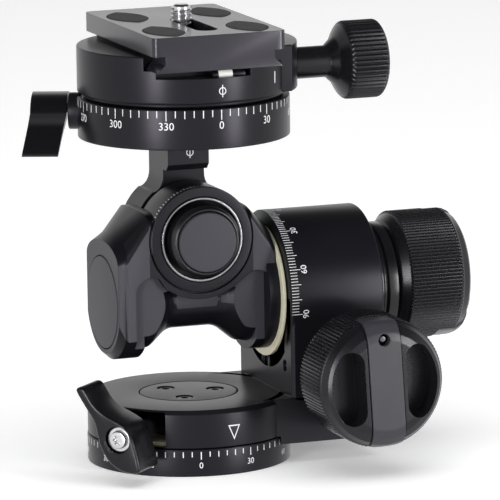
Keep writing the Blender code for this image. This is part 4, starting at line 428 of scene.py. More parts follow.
brake_bore = placed(turned([(10, 0), (10, 2.6), (40, 2.6), (40, 0)], 40, 0), outward(LOCK_DEG), (0, 0, LOCK_Z))
bracket = carved(bracket, hollow, worm_bore, grub_bore, brake_bore)
mounted(bracket, "bracket_casting", "pan_bracket", black, ["pan_bracket"])

# White marks on the bracket: the triangle that points at the base scale, and the tilt scale at the barrel's rim
POINTER_DEG = 7.0
corners = np.array([(-1.9, 14.7), (1.9, 14.7), (0, 10.3)])
sides = np.concatenate([np.linspace(one, two, 9)[:-1] for one, two in zip(corners, np.roll(corners, -1, 0))])
inner = corners.mean(0) + (sides - corners.mean(0)) * 0.76
outline = np.stack([sides, sides, inner, inner])
lift = np.broadcast_to(np.array([-PAINT, PAINT, PAINT, -PAINT])[:, None, None], (4, len(sides), 1))
pointer = skin(np.concatenate([outline, lift], -1) + (math.radians(POINTER_DEG) * DISC_R, 0, 0), True)
mounted(rolled(pointer, DISC_R), "pan_pointer", "pan_bracket", paint)

steps = np.arange(90, -20, -2)
down = np.radians((steps - 60) * 1.08 - 23)
length = np.where(steps % 30 == 0, 3.3, np.where(steps % 10 == 0, 3.0, 2.15))
tilt_marks = bars(down * BARREL_R, 0.05, 0.17, length)
tilt_numbers = [written(str(step), down[steps == step][0] * BARREL_R, 4.5, 2.6, 180, 1.05) for step in (90, 60, 30, 0)]
tilt_scale = placed(rolled(together(tilt_marks, *tilt_numbers), BARREL_R), RIGHTWARD, (ARM_LEFT, 0, TILT_Z))
mounted(tilt_scale, "tilt_scale_marks", "pan_bracket", paint)

# ---------------------------------------------------------------------------------------------------------------
# Pan lock. An S-shaped lever, milled from black anodised aluminium with rounded rims; a steel screw with a
# star socket holds it, over a washer, on the stud that pushes the brake.

LEVER = np.array([(-0.70, 0.96), (-0.49, 0.67), (-0.28, 0.50), (0, 0.37), (0.18, 0.26), (0.31, 0.05), (0.39, -0.20),
                  (0.46, -0.47), (0.45, -0.60), (0.28, -0.64), (0.03, -0.59), (-0.19, -0.44), (-0.36, -0.18),
                  (-0.43, 0.07), (-0.50, 0.33), (-0.68, 0.60), (-0.87, 0.92)]) * 15


def smooth_outline(outline, steps=6):
    """A closed outline drawn finer: a cubic spline of the kind that passes through every given point."""
    p0, p1, p2, p3 = (np.roll(outline, shift, 0)[:, None] for shift in (1, 0, -1, -2))
    t = np.linspace(0, 1, steps, endpoint=False)[None, :, None]
    points = 0.5 * (2 * p1 + (p2 - p0) * t + (2 * p0 - 5 * p1 + 4 * p2 - p3) * t ** 2 + (3 * p1 - p0 - 3 * p2 + p3) * t ** 3)
    return points.reshape(-1, 2)


def lever_form(inner, outer, flip, heel, tip, ease):
    """The lever's outline run outwards from the bracket, with rounded rims. Heel and tip shorten its two ends."""
    outline = smooth_outline(LEVER) * flip
    outline[:, 1] *= np.where(outline[:, 1] > 0, heel, tip)
    return sawn(outline, inner, outer, ease)


def star_screw(low, top, radius, shank):
    """A round-headed screw about Z whose socket is a six-pointed star: its radius is a cosine of six times the angle."""
    body = turned([(low, 0), (low, shank), (top - 1.2, shank), (top - 1.2, radius), (top, radius * 0.92), (top, 0)], 60, 0.3)
    angle = np.linspace(0, 2 * np.pi, 48, endpoint=False)
    reach = radius * (0.46 + 0.09 * np.cos(angle * 6))
    return carved(body, sawn(np.stack([reach * np.cos(angle), reach * np.sin(angle)], -1), top - 0.9, top + 1))


def turned_about(made, turn, place):
    """Moves a carved piece that was made about Z: its mesh is turned, then moved, round the pan axis."""
    shift = Matrix.Translation(PAN_AXIS)
    move = Matrix.Translation([c * MM for c in place]) @ Matrix(np.array(turn).tolist()).to_4x4()
    made.data.transform(shift @ move @ shift.inverted())
    return made


gloss_black = blasted("black_anodised_lever", (0.003, 0.003, 0.004), (0.006, 0.006, 0.007), 0.24, 0.45, 0.12,
                      Specular_IOR_Level=0.30, Specular_Tint=(0.95, 0.93, 1.0, 1))
lever_bore = turned([(20, 0), (20, 2.6), (47.8 - 2.4, 2.6), (47.8 - 2.4, 4.0), (60, 4.0), (60, 0)], 60, 0)
lever = carved(lever_form(35.2, 47.8, 1, 1.0, 1.0, 0.8), lever_bore)
mounted(turned_about(lever, outward(LOCK_DEG), (0, 0, LOCK_Z)), "pan_lever", "pan_lock", gloss_black,
        ["pan_lock_lever"])
washer = turned([(45.6, 2.5), (45.6, 3.6), (46.3, 3.6), (46.3, 2.5)], 80, 0.12, True)
mounted(placed(washer, outward(LOCK_DEG), (0, 0, LOCK_Z)), "pan_lever_washer", "pan_lock", steel,
        ["pan_lock_washer"])
screw = turned_about(star_screw(43.2, 47.6, 2.7, 2.0), outward(LOCK_DEG), (0, 0, LOCK_Z))
mounted(screw, "pan_lever_screw", "pan_lock", steel, ["pan_lock_screw"])

# ---------------------------------------------------------------------------------------------------------------
# Tilt cradle. One casting, machined and blasted, black, with its flat faces painted a dark grey that stands for the
# light they
# catch: a horn-shaped tube between two flanges, a front plate with two legs, and a round hub. It tilts about the
# barrel's axis.

SWING_Z = 67.2
FLANGE_R = 17.0
PLATE_FRONT, CRADLE_BACK = -13.8, 14.4


def cradle_ring(x, bottom, front, side_z, top_z, power):
    """One section across the casting: a round bottom about the tilt axis, then flat sides and a top that is half
    of a superellipse of that power."""
    middle, half = (front + CRADLE_BACK) / 2, (CRADLE_BACK - front) / 2
    low = np.linspace(math.asin(front / bottom) - np.pi / 2, math.asin(CRADLE_BACK / bottom) - np.pi / 2, 40)
    over = np.linspace(0, np.pi, 60)
    side = np.concatenate([bottom * np.cos(low),
                           middle + half * np.sign(np.cos(over)) * np.abs(np.cos(over)) ** (2 / power)])
    rise = np.concatenate([TILT_Z + bottom * np.sin(low), side_z + (top_z - side_z) * np.abs(np.sin(over)) ** (2 / power)])
    return np.stack([np.full_like(side, x), side, rise], -1)


def seen_from_front(outline, front=-40, back=40):
    """A cutter whose outline of (x, height) points runs from front to back."""
    return placed(sawn([(x, -z) for x, z in outline], front, back), BACKWARD)


slope = (75.3 - 66.6) / 10.0
body = solid(skin(np.stack([
    cradle_ring(-26.0, 15.2, -14.4, 60.5, 66.6, 2.0), cradle_ring(-24.0, FLANGE_R, -14.4, 60.5, 66.6 + slope * 2.0, 2.0),
    cradle_ring(-22.8, FLANGE_R, PLATE_FRONT, 60.5, 66.6 + slope * 3.2, 2.0),
    cradle_ring(-16.0, FLANGE_R, PLATE_FRONT, 69.6, 75.3, 3.6), cradle_ring(16.0, FLANGE_R, PLATE_FRONT, 69.6, 75.3, 3.6),
    cradle_ring(22.7, FLANGE_R, PLATE_FRONT, 60.5, 69.2, 2.0)])))
window = ([(-15.3, 25)] + arc(-12.7, 48.9, 2.6, 180, 90, 10) + arc(0, SWING_Z, 17.75, -122, -58, 40)
          + arc(12.7, 48.9, 2.6, 90, 0, 10) + [(15.3, 25)])
recess = ([(-20.3, 25)] + arc(-15.4, 51.9, 4.9, 180, 60, 20) + arc(0, SWING_Z, 17.75, -130, -50, 50)
          + arc(17.2, 52.3, 4.5, 120, 0, 20) + [(21.7, 25)])
step = carved(placed(turned([(-17.3, 14.3), (-17.3, 20), (17.3, 20), (17.3, 14.3)], 160, 0, True), RIGHTWARD, (0, 0, TILT_Z)),
              block(-40, 40, -40, 40, TILT_Z, 100))
body = carved(body, seen_from_front(window))
body = carved(body, step)
body = carved(body, seen_from_front(recess, CRADLE_BACK - 2.3, 40))
flare = np.array([(0, 0), (0.14, 0.07), (0.27, 0.20), (0.40, 0.42), (0.53, 0.64), (0.62, 0.80), (0.71, 0.93), (0.85, 0.985), (1, 1)])
horn_x, horn_r = 6.0 + 11.3 * flare[:, 0], 9.1 + 5.5 * flare[:, 1]
horn = ([(-18.1, 0), (-18.1, 14.6)] + [(-x, r) for x, r in zip(horn_x[::-1], horn_r[::-1])]
        + list(zip(horn_x, horn_r)) + [(18.1, 14.6), (18.1, 0)])
body = carved(body, placed(turned(horn, 160, 0.5), RIGHTWARD, (0, 0, TILT_Z)), operation="UNION")
body = carved(body, seen_from_front(recess, -40, PLATE_FRONT + 2.3))
body = carved(body, placed(turned([(-40, 0), (-40, 16.1), (-12.6, 16.1), (-12.6, 0)], 180, 0), BACKWARD, (0, 0, SWING_Z)))
body = carved(body, placed(turned([(-14.4, 0), (-14.4, 15.6), (-1.3, 15.6), (-1.3, 0)], 180, 0.4), BACKWARD, (0, 0, SWING_Z)),
              operation="UNION")
hub_bore = turned([(-40, 0), (-40, 12.7), (-8.6, 12.7), (-8.6, 5.3), (-4.6, 5.3), (-4.6, 14.42), (1.0, 14.42), (1.0, 0)], 140, 0)
floor_deg = math.degrees(math.acos(12.8 / 15.9))
pocket = placed(sawn(arc(0, 0, 15.9, 90 + floor_deg, 450 - floor_deg, 100), -1.0, 40), BACKWARD, (0, 0, SWING_Z))
worm_hole = placed(turned([(-17.3, 0), (-17.3, 5.8), (30, 5.8), (30, 0)], 50, 0), RIGHTWARD, (0, 0, 49.4))
end_pocket = placed(turned([(-40, 0), (-40, 13.9), (-24.8, 13.9), (-24.8, 0)], 120, 0), RIGHTWARD, (0, 0, TILT_Z))
for tool in (placed(hub_bore, BACKWARD, (0, 0, SWING_Z)), pocket, worm_hole, end_pocket):
    body = carved(body, tool)
# A lighter grey copy of the blasted skin: painted light on the cradle's flat faces, and also worn by the end disc and
# the hub's cap and cover
grey_and_painted_lit = blasted("dark_grey_and_painted_lit_skin", (0.030, 0.030, 0.036), (0.044, 0.043, 0.050), 0.46, 0.35, 0.35,
               Specular_IOR_Level=0.20, Specular_Tint=(0.95, 0.93, 1.0, 1))
mounted(body, "cradle_casting", "cradle", grey_and_painted_lit, ["tilt_cradle"])

# Painted light: the flat faces take the dark grey as a painted highlight for the light they catch; the rounded sides,
# the tube and the hub's front ring stay black
facing, middles = np.empty((2, len(body.data.polygons) * 3), np.float32)
body.data.polygons.foreach_get("normal", facing)
body.data.polygons.foreach_get("center", middles)
facing = facing.reshape(-1, 3)
middles = (middles.reshape(-1, 3) - np.array(PAN_AXIS)) / MM
in_hub = np.hypot(middles[:, 0], middles[:, 2] - SWING_Z) < 15.7
painted_lit_faces = (np.abs(facing[:, 1]) > 0.97) & ~in_hub | (np.abs(facing[:, 0]) > 0.97)
# The front-left chamfer facet gets the lighter grey too, as a painted highlight band
painted_lit_faces |= (facing[:, 0] < -0.3) & (facing[:, 1] < -0.3) & (np.abs(facing[:, 2]) < 0.1)
body.data.materials.append(black)
body.data.polygons.foreach_set("material_index", np.where(painted_lit_faces, 0, 1).astype(np.int32))

# Discs and rings that are pressed or screwed to the cradle: polished ring in the hub, boss with its cap, end caps
cap = turned([(-26.2, 0), (-26.2, 13.6), (-25.1, 13.6), (-25.1, 0)], 150, 0.3)
mounted(placed(cap, RIGHTWARD, (0, 0, TILT_Z)), "cradle_end_disc", "cradle", grey_and_painted_lit, ["left_end_cap"])
ring_black = blasted("black_turned_ring", (0.004, 0.004, 0.005), (0.008, 0.008, 0.010), 0.20, 0.2, 0.1, Specular_IOR_Level=0.4)
bright_edge = machined("polished_ring_steel", (0.30, 0.30, 0.32), 0.22)
ring = turned([(-14.7, 11.75), (-14.7, 12.4), (-8.9, 12.4), (-8.9, 11.75)], 180, 0.14, True)
mounted(placed(ring, BACKWARD, (0, 0, SWING_Z)), "hub_polished_ring", "cradle", bright_edge, ["hub_ring"])
boss = turned([(-8.9, 0), (-8.9, 10.5), (-18.3, 10.5), (-19.2, 9.6), (-19.2, 9.1), (-17.9, 9.1), (-17.9, 0)], 180, 0.2)
mounted(placed(boss, BACKWARD, (0, 0, SWING_Z)), "hub_boss_turned", "cradle", ring_black, ["hub_boss"])
cap = turned([(-20.2, 0), (-20.2, 8.8), (-18.2, 8.8), (-18.2, 0)], 180, 0.5)
mounted(placed(cap, BACKWARD, (0, 0, SWING_Z)), "hub_cap_disc", "cradle", grey_and_painted_lit, ["hub_cap"])
cover = turned([(14.7, 0), (14.7, 11.5), (16.1, 11.5), (16.1, 0)], 150, 0.5)
mounted(placed(cover, BACKWARD, (0, 0, SWING_Z)), "hub_rear_cover", "cradle", grey_and_painted_lit, ["rear_cover"])
hub_degrees = np.arange(118, 243, 4)
hub_marks = bars(np.radians(hub_degrees) * 15.6, -13.4, 0.22, np.where(hub_degrees % 5 == 0, 1.6, 1.0))
SIDEWAYS = np.array([[1, 0, 0], [0, 0, 1], [0, 1, 0]])
mounted(placed(rolled(hub_marks, 15.6), SIDEWAYS, (0, 0, SWING_Z)), "hub_marks", "cradle", paint)

# ---------------------------------------------------------------------------------------------------------------
# Slip ring, main spindle collar. A cream low-friction ring shows between cradle and barrel; the collar at the
# barrel's other end is turned steel, blackened, with one groove.

cream, where, shader = finish_start("cream_slip_plastic", 0.42)
cloud = noise(where, 420, 3)
feed(shader, "Base Color", shades(where, cloud, (0.50, 0.47, 0.33), (0.66, 0.63, 0.49)))
feed(shader, "Roughness", cloud * 0.15 + 0.35)
ring = turned([(23.2, 16.9), (23.2, 19.6), (24.1, 19.6), (24.1, 16.9)], 160, 0.15, True)
mounted(placed(ring, RIGHTWARD, (0, 0, TILT_Z)), "cream_slip_ring", "pan_bracket", cream, ["slip_ring"])
collar = turned([(53.3, 11.3), (53.3, 17.6), (55.54, 17.6), (56.1, 16.9), (56.8, 16.9), (57.36, 17.6), (60.3, 17.6),
                 (60.3, 11.3)], 180, 0.25, True)
mounted(placed(collar, RIGHTWARD, (0, 0, TILT_Z)), "spindle_collar", "cradle", ring_black,
        ["spindle_end_collar"])

# ---------------------------------------------------------------------------------------------------------------
# Drive knobs. Two like knobs turn the worms. Each is a black aluminium body with fine straight ribs, a domed face
# with two deep finger wells, and a grey bar let in across the face with a round hole and a small screw.

KNOB_RIBS = 112
DOME = [(20.1, 18.5), (22.15, 17.39), (23.59, 15.17), (24.2, 12.95)]


def well_outline(grow, side):
    """A finger well from the front: an outer arc near the rim, two round corners and a straight inner side."""
    corner = 3.9 + grow
    x = 6.3 + 3.9
    y = math.sqrt((16.3 - 3.9) ** 2 - x ** 2)
    tilt = math.degrees(math.atan2(y, x))
    points = (arc(0, 0, 16.3 + grow, -tilt, tilt, 30) + arc(x, y, corner, tilt, 180, 16)[1:]
              + arc(x, -y, corner, 180, 360 - tilt, 16)[:-1])
    return [(side * px, side * py) for px, py in points]


def knob(turn, place, degrees, neck):
    """The knob's body and bar, made about Z with the rear face at 0 and turned into place."""
    spin = math.radians(degrees)
    turn = np.array(turn) @ np.array([[math.cos(spin), -math.sin(spin), 0], [math.sin(spin), math.cos(spin), 0], [0, 0, 1]])
    profile = [(0, 0), (0, 15.0), (1.1, 16.6), (3.3, 18.3), (3.8, 19.2, 1), (19.1, 19.2, 1), (19.75, 18.9), (20.1, 18.5)] + DOME[1:] + [(24.2, 0)]
    grip = carved(turned(profile, KNOB_RIBS * 6, 0.18, wave=0.4, ribs=KNOB_RIBS))
    if neck:
        grip = carved(grip, turned([(-neck, 0), (-neck, 9.5), (2.0, 9.5), (2.0, 0)], 120, 0.4), operation="UNION")
    channel = carved(block(-5.3, 5.3, -22, 22, 14.4, 28), block(-10, 10, -15.9, 15.9, 0, 21.6))
    grip = carved(grip, channel)
    for side in (1, -1):
        grip = carved(grip, sawn(well_outline(0, side), 15.0, 30))
    grip = carved(grip, placed(turned([(0, 0), (0, 1.8), (20, 1.8), (20, 0)], 30, 0), place=(0, 13.5, 17.5)),
                  turned([(-neck - 5, 0), (-neck - 5, 3.3), (14.3, 3.3), (14.3, 0)], 40, 0))
    bar = carved(block(-5.0, 5.0, -18.5, 18.5, 14.7, 24.6), block(-10, 10, -16.2, 16.2, 0, 21.9))
    shell = [(0, 0), (0, 19.2)] + [(h + 0.4, r + 0.4) for h, r in DOME] + [(24.6, 0)]
    bar = carved(bar, turned(shell, 200, 0.5), operation="INTERSECT")
    bar = carved(bar, placed(turned([(15, 0), (15, 1.75), (24.3, 1.75), (25.4, 2.6), (25.4, 0)], 60, 0), place=(0, 13.5, 0)))
    screw = turned([(17.9, 0), (17.9, 1.5), (22.3, 1.5), (23.2, 0.9), (23.2, 0)], 40, 0.3)
    return turned_about(grip, turn, place), turned_about(bar, turn, place), placed(screw, turn, tuple(
        np.array(place) + turn @ np.array([0, 13.5, 0])))


knob_black = blasted("black_knob_skin", (0.004, 0.004, 0.005), (0.008, 0.0078, 0.010), 0.26, 0.18, 0.15,
                     Specular_IOR_Level=0.34, Specular_Tint=(0.95, 0.93, 1.0, 1))
bar_grey = blasted("satin_bar_grey", (0.022, 0.022, 0.027), (0.034, 0.033, 0.040), 0.32, 0.25, 0.2, Specular_IOR_Level=0.4)
for axis, turn, place, degrees, neck in (("x", FRONTWARD, (WORM_X, -32.0, WORM_Z), 3, 9.0),
                                         ("y", RIGHTWARD, (60.6, 0, 49.4), -110, 0)):
    grip, bar, screw = knob(turn, place, degrees, neck)
    mounted(grip, f"{axis}_ribbed_knob", f"{axis}_drive", knob_black, [f"{axis}_knob_grip"])
    mounted(bar, f"{axis}_cross_bar", f"{axis}_drive", bar_grey, [f"{axis}_knob_bar"])
    mounted(screw, f"{axis}_bar_screw", f"{axis}_drive", dark_steel, [f"{axis}_knob_screw"])

# ---------------------------------------------------------------------------------------------------------------
# Stem. The neck and its round foot are one milled piece, black anodised; the foot swings in the cradle's pocket
# on the pivot pin. Its front is stepped under the ring, and carries a small index mark.

meet = math.asin((6.35 + 3.4) / 15.6)
meet_z = 15.6 * math.cos(meet)
curve = np.linspace(0, np.pi / 2, 16)
fillet = list(zip(6.35 + 3.4 * (1 - np.sin(curve)), meet_z + 5.0 * (1 - np.cos(curve))))
right_side = [(6.35, 28.8), (6.35, meet_z + 5.0)] + fillet[::-1][1:]
foot_arc = arc(0, 0, 15.6, 90 - math.degrees(meet), -25, 40)[1:]
outline = (right_side + foot_arc + arc(0, 0, 12.2, -25, -155, 50) + [(-x, z) for x, z in foot_arc[::-1]]
           + [(-x, z) for x, z in right_side[::-1]])
neck = solid(placed(sawn([(x, -z) for x, z in outline], 1.0, 13.7), BACKWARD, (0, 0, SWING_Z)))
front_part = sawn([(-z, y) for y, z in [(-3.5 + 1.8, 86.0), (4.0, 86.0), (4.0, 96.0), (-3.5, 96.0), (-3.5, 87.8)]], -6.35, 6.35)
neck = carved(neck, placed(front_part, RIGHTWARD), operation="UNION")
neck = carved(neck, placed(turned([(-20, 0), (-20, 5.3), (20, 5.3), (20, 0)], 60, 0), BACKWARD, (0, 0, SWING_Z)))
mounted(neck, "stem_neck", "stem", black, ["stem"])


def index_mark(across, along, radius, line):
    """A circle crossed by a vertical line, as thin painted slabs on an unrolled surface."""
    around = np.radians(np.linspace(0, 360, 25)[:-1])
    spin = np.stack([np.cos(around), np.sin(around)], -1)
    rings = np.stack([spin * (radius + s) for s in (0.13, 0.13, -0.13, -0.13)])
    lift = np.array([-PAINT, PAINT, PAINT, -PAINT])[:, None, None]
    grid = np.concatenate([rings, np.broadcast_to(lift, (4, 24, 1))], -1) + (across, along, 0)
    return together(skin(grid, True), bars([across], along - line / 2, 0.26, [line]))


flat_mark = index_mark(0.5, 91.3, 1.0, 3.4)
mounted(placed(flat_mark, FRONTWARD, (0, -3.5, 0)), "stem_index_mark", "stem", paint)

# ---------------------------------------------------------------------------------------------------------------
# Top scale ring. Turned and black anodised like the base ring, with the same white marks, on top of the neck;
# the boss of its lock stands out at the left.

RING_Z = 96.3
ring = carved(placed(turned([(0, 0), (0, 31.1), (11.8, 31.1), (11.8, 13.3), (2.2, 13.3), (2.2, 0)], 200, 0.4), place=(0, 0, RING_Z)))
boss = placed(turned([(29.8, 0), (29.8, 5.4), (33.7, 5.4), (33.7, 0)], 80, 0.5), outward(157), (0, 0, 103.4))
ring = carved(ring, boss, operation="UNION")
ring = carved(ring, placed(turned([(10, 0), (10, 2.6), (40, 2.6), (40, 0)], 40, 0), outward(157), (0, 0, 103.4)))
satin = blasted("black_turned_satin", (0.0035, 0.0035, 0.005), (0.008, 0.0078, 0.010), 0.30, 0.3, 0.18,
                Specular_IOR_Level=0.22, Specular_Tint=(0.93, 0.90, 1.0, 1))
mounted(ring, "top_ring", "stem", satin, ["top_scale_ring"])
mounted(scale_marks(31.1, RING_Z + 11.5, 1.4, 2.0, 2.9, RING_Z + 6.9, 3.2, 1), "top_scale_marks", "stem", paint)

# ---------------------------------------------------------------------------------------------------------------
# Top lock. The same lever as below, turned over and leaning outwards, on its stud in the ring's boss.

lever = carved(lever_form(34.0, 44.6, -1, 0.52, 0.80, 0.0),
               turned([(20, 0), (20, 2.6), (42.2, 2.6), (42.2, 4.0), (60, 4.0), (60, 0)], 60, 0))
LEAN = 2.7 / 15
bent = bmesh.new()
bent.from_mesh(lever.data)
bmesh.ops.bisect_plane(bent, geom=bent.verts[:] + bent.edges[:] + bent.faces[:], plane_co=PAN_AXIS, plane_no=(0, 1, 0))
bent.to_mesh(lever.data)
bent.free()
points = np.empty(len(lever.data.vertices) * 3, np.float32)
lever.data.vertices.foreach_get("co", points)
points[2::3] -= LEAN * np.minimum(points[1::3] - PAN_AXIS[1], 0)
lever.data.vertices.foreach_set("co", points)
mounted(turned_about(lever, outward(157), (0, 0, 103.4)), "top_lever", "top_lock", gloss_black,
        ["top_lock_lever"])
screw = turned_about(star_screw(40.0, 43.7, 2.7, 2.0), outward(157), (0, 0, 103.4))
mounted(screw, "top_lever_screw", "top_lock", steel, ["top_lock_screw"])

# ---------------------------------------------------------------------------------------------------------------
# Plate clamp. A round body of black anodised aluminium with a dovetail channel along Y, a let-in bubble level at
# the front, and a sliding jaw at its right that the clamp screw draws in.

CHANNEL_Z, CLAMP_TOP = 119.3, 123.3
body = carved(turned([(108.4, 0), (108.4, 29.5), (109.7, 29.5), (109.7, 31.1), (CLAMP_TOP, 31.1), (CLAMP_TOP, 0)], 200, 0.5))
channel = placed(sawn([(x, -z) for x, z in [(-19.62, CHANNEL_Z), (40, CHANNEL_Z), (40, 130), (-17.02, 130), (-17.02, 122.2),
                                             (-19.62, 119.6)]], -40, 40), BACKWARD)
pocket = block(-17.2, 10.5, -40, -23.5, CHANNEL_Z - 2.3, 124)
lip_end = block(-20.2, -14, -40, -21.5, CHANNEL_Z, 130)
level_seat = placed(turned([(-1.2, 0), (-1.2, 1.9), (9.3, 1.9), (9.3, 0)], 40, 0), RIGHTWARD, (0, -27.6, 117.5))
jaw_room = block(19.9, 40, -20.7, 20.7, 109.7, 130)
screw_bore = placed(turned([(1.7, 0), (1.7, 3.1), (33.4, 3.1), (33.4, 0)], 50, 0), RIGHTWARD, (0, 0, 115.0))
for tool in (channel, pocket, lip_end, level_seat, jaw_room, screw_bore):
    body = carved(body, tool)
mounted(body, "clamp_casting", "clamp", satin, ["clamp_body"])
# A painted index mark at the front, and a short pale bar at 39.5 degrees that is a painted highlight: the lit edge of a
# small slot in the body
clamp_mark_and_slot_highlight = rolled(together(index_mark(math.radians(2.2) * 31.1, 113.2, 1.0, 3.6),
                             bars([math.radians(39.5) * 31.1], 113.4, 0.5, [3.4])), 31.1)
mounted(clamp_mark_and_slot_highlight, "clamp_index_mark_and_slot_highlight", "clamp", paint)

jaw_deg = math.degrees(math.asin(20.4 / 33.4))
jaw = carved(sawn([(20.2, 20.4), (20.2, -20.4)] + arc(0, 0, 33.4, -jaw_deg, jaw_deg, 60), 110.0, 123.7, 0.4),
             placed(sawn([(x, -z) for x, z in [(19.62, 119.6), (23.2, 119.6), (23.2, 123.7), (17.02, 123.7), (17.02, 122.2)]],
                         -20.4, 20.4), BACKWARD), operation="UNION")
jaw = carved(jaw, placed(turned([(17, 0), (17, 3.1), (37, 3.1), (37, 0)], 50, 0), RIGHTWARD, (0, 0, 115.0)))
mounted(jaw, "sliding_jaw", "jaw", satin, ["clamp_jaw"])

# The level is a short white vial between two black end caps
vial, where, shader = finish_start("white_level_vial", 0.12, Coat_Weight=0.6)
tint = noise(where, 700, 2)
feed(shader, "Base Color", shades(where, tint, (0.70, 0.72, 0.66), (0.84, 0.85, 0.80)))
feed(shader, "Roughness", tint * 0.08 + 0.08)
window = turned([(0.8, 0), (0.8, 1.6), (5.1, 1.6), (5.1, 0)], 60, 0.15)
mounted(placed(window, RIGHTWARD, (0, -27.6, 117.5)), "level_vial", "clamp", vial, ["bubble_level"])
ends = together(turned([(-0.9, 0), (-0.9, 1.55), (0.85, 1.55), (0.85, 0)], 60, 0.2),
                turned([(5.05, 0), (5.05, 1.55), (9.0, 1.55), (9.0, 0)], 60, 0.2))
mounted(placed(ends, RIGHTWARD, (0, -27.6, 117.5)), "level_end_caps", "clamp", gloss_black)

# ---------------------------------------------------------------------------------------------------------------
# Clamp screw and its knob. The steel screw runs through the jaw; the knob is black aluminium on a plain neck,
# flared to a drum with straight ribs and a broken front edge.

drum = [(33.7, 0), (33.7, 4.7), (44.2, 4.7), (46.8, 7.0), (49.0, 10.6), (50.0, 11.6, 1), (60.0, 11.6, 1), (60.9, 10.5),
        (61.1, 9.6), (61.1, 0)]
knob_form = carved(turned(drum, 48 * 8, 0.5, wave=0.45, ribs=48),
                   turned([(20, 0), (20, 3.1), (44.5, 3.1), (44.5, 0)], 50, 0))
mounted(turned_about(knob_form, RIGHTWARD, (0, 0, 115.0)), "clamp_ribbed_knob", "clamp_drive", knob_black,
        ["clamp_knob"])

# ---------------------------------------------------------------------------------------------------------------
# Camera plate. Milled from bar and anodised: a slab with a dovetail below, a long slot, and four let-in pads of
# woven rubber. The face towards the front is left bare.

plate_skin = blasted("plate_anodised_skin", (0.010, 0.010, 0.013), (0.018, 0.017, 0.022), 0.24, 0.3, 0.2,
                     Specular_IOR_Level=0.4, Specular_Tint=(0.95, 0.92, 1.0, 1))
half = [(19.2, 119.6), (16.6, 122.2), (16.6, 124.4), (20.25, 124.4), (20.25, 129.95)]
section = half + [(-x, z) for x, z in half[::-1]]
plate = solid(placed(sawn([(x, -z) for x, z in section], -33.0, 29.6), BACKWARD))
plate = carved(plate, sawn(rounded_box(-20.25, 20.25, -33.0, 29.6, 1.9), 110, 140), operation="INTERSECT")
slot = arc(0, 0.6, 3.4, 0, 180) + arc(0, -20.9, 3.4, 180, 360)
head_slot = arc(0, 0.6, 8.0, 0, 180) + arc(0, -20.9, 8.0, 180, 360)
plate = carved(plate, sawn(slot, 110, 140), sawn(head_slot, 110, 119.6 + 3.7))
bulge = (22.0 ** 2 + 11.0 ** 2) / (4 * 11.0)
sweep = math.degrees(math.asin(11.0 / bulge))
offset = bulge - 5.5


def lens(grow):
    """A pad's outline: two equal arcs that meet in a point at each end."""
    return (arc(-offset, 0, bulge + grow, -sweep, sweep, 30)[:-1] + arc(offset, 0, bulge + grow, 180 - sweep, 180 + sweep, 30)[:-1])


pad_places = ((-12.8, -20.4), (12.8, -20.4), (-12.8, 12.0), (12.8, 12.0))
plate = carved(plate, *[placed(sawn(lens(0.3), 129.05, 140), place=(x, y, 0)) for x, y in pad_places])
mounted(plate, "camera_plate_milled", "plate", plate_skin, ["camera_plate"])

rubber, where, shader = finish_start("woven_rubber", 0.62)
across = where.node("ShaderNodeSeparateXYZ", (), {"Vector": where})
up = Wire(across.tree, across.socket.node.outputs[1])
THREAD = 2 * math.pi / 0.55e-3


def ripple(wire, pitch):
    """A sine ripple along one coordinate."""
    return wire.node("ShaderNodeMath", {"operation": "SINE"}, {0: wire * pitch})


weave = ripple(across + up, THREAD) * ripple(across - up, THREAD)
dust = noise(where, 900, 3)
feed(shader, "Base Color", shades(where, weave * 0.35 + dust * 0.5 + 0.1, (0.010, 0.010, 0.011), (0.045, 0.044, 0.048)))
feed(shader, "Normal", where.node("ShaderNodeBump", (), {"Strength": 0.8, "Distance": 0.12 * MM, "Height": weave}))
for number, (x, y) in enumerate(pad_places):
    pad = placed(sawn(lens(0), 129.35, 130.15, 0.25), place=(x, y, 0))
    mounted(pad, f"lens_pad_{number + 1}", "plate", rubber, [f"camera_pad_{number + 1}"])

# ---------------------------------------------------------------------------------------------------------------
# Camera screw. Bright steel, quarter inch, with a cut thread above the plate and a wide slotted head below it.

THREAD_PITCH = 1.27
turns, steps = 4.6, 48
spiral = np.linspace(0, turns * 2 * np.pi, int(turns * steps))
tooth = np.array([(2.45, -0.62), (2.55, -0.45), (3.05, -0.10), (3.05, 0.10), (2.55, 0.45), (2.45, 0.62)])
fade = np.clip(np.minimum(spiral, spiral[::-1]) / 1.2, 0.05, 1)
reach = 2.45 + (tooth[None, :, 0] - 2.45) * fade[:, None]
height = 127.9 + spiral[:, None] / (2 * np.pi) * THREAD_PITCH + tooth[None, :, 1] * 0.98
ridge = np.stack([reach * np.cos(spiral)[:, None], reach * np.sin(spiral)[:, None], height], -1)
core = turned([(120.8, 0), (120.8, 7.5), (123.0, 7.5), (123.0, 2.6), (134.1, 2.6), (134.65, 1.9), (134.65, 0)], 96, 0.25)
core = carved(core, block(-0.7, 0.7, -9, 9, 119, 121.8))
screw = placed(skin(ridge), place=(0, 0.6, 0))
core.data.transform(Matrix.Translation((0, 0.6 * MM, 0)))
core = carved(core, screw, operation="UNION")
mounted(core, "quarter_inch_screw", "camera_screw", steel, ["camera_screw"])

# ---------------------------------------------------------------------------------------------------------------
# Inner pieces. Bearings, gears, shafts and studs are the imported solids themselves, with turned-metal finishes:
# steel shafts, brass wheels and bush, bronze bearings, and the cream friction washer.

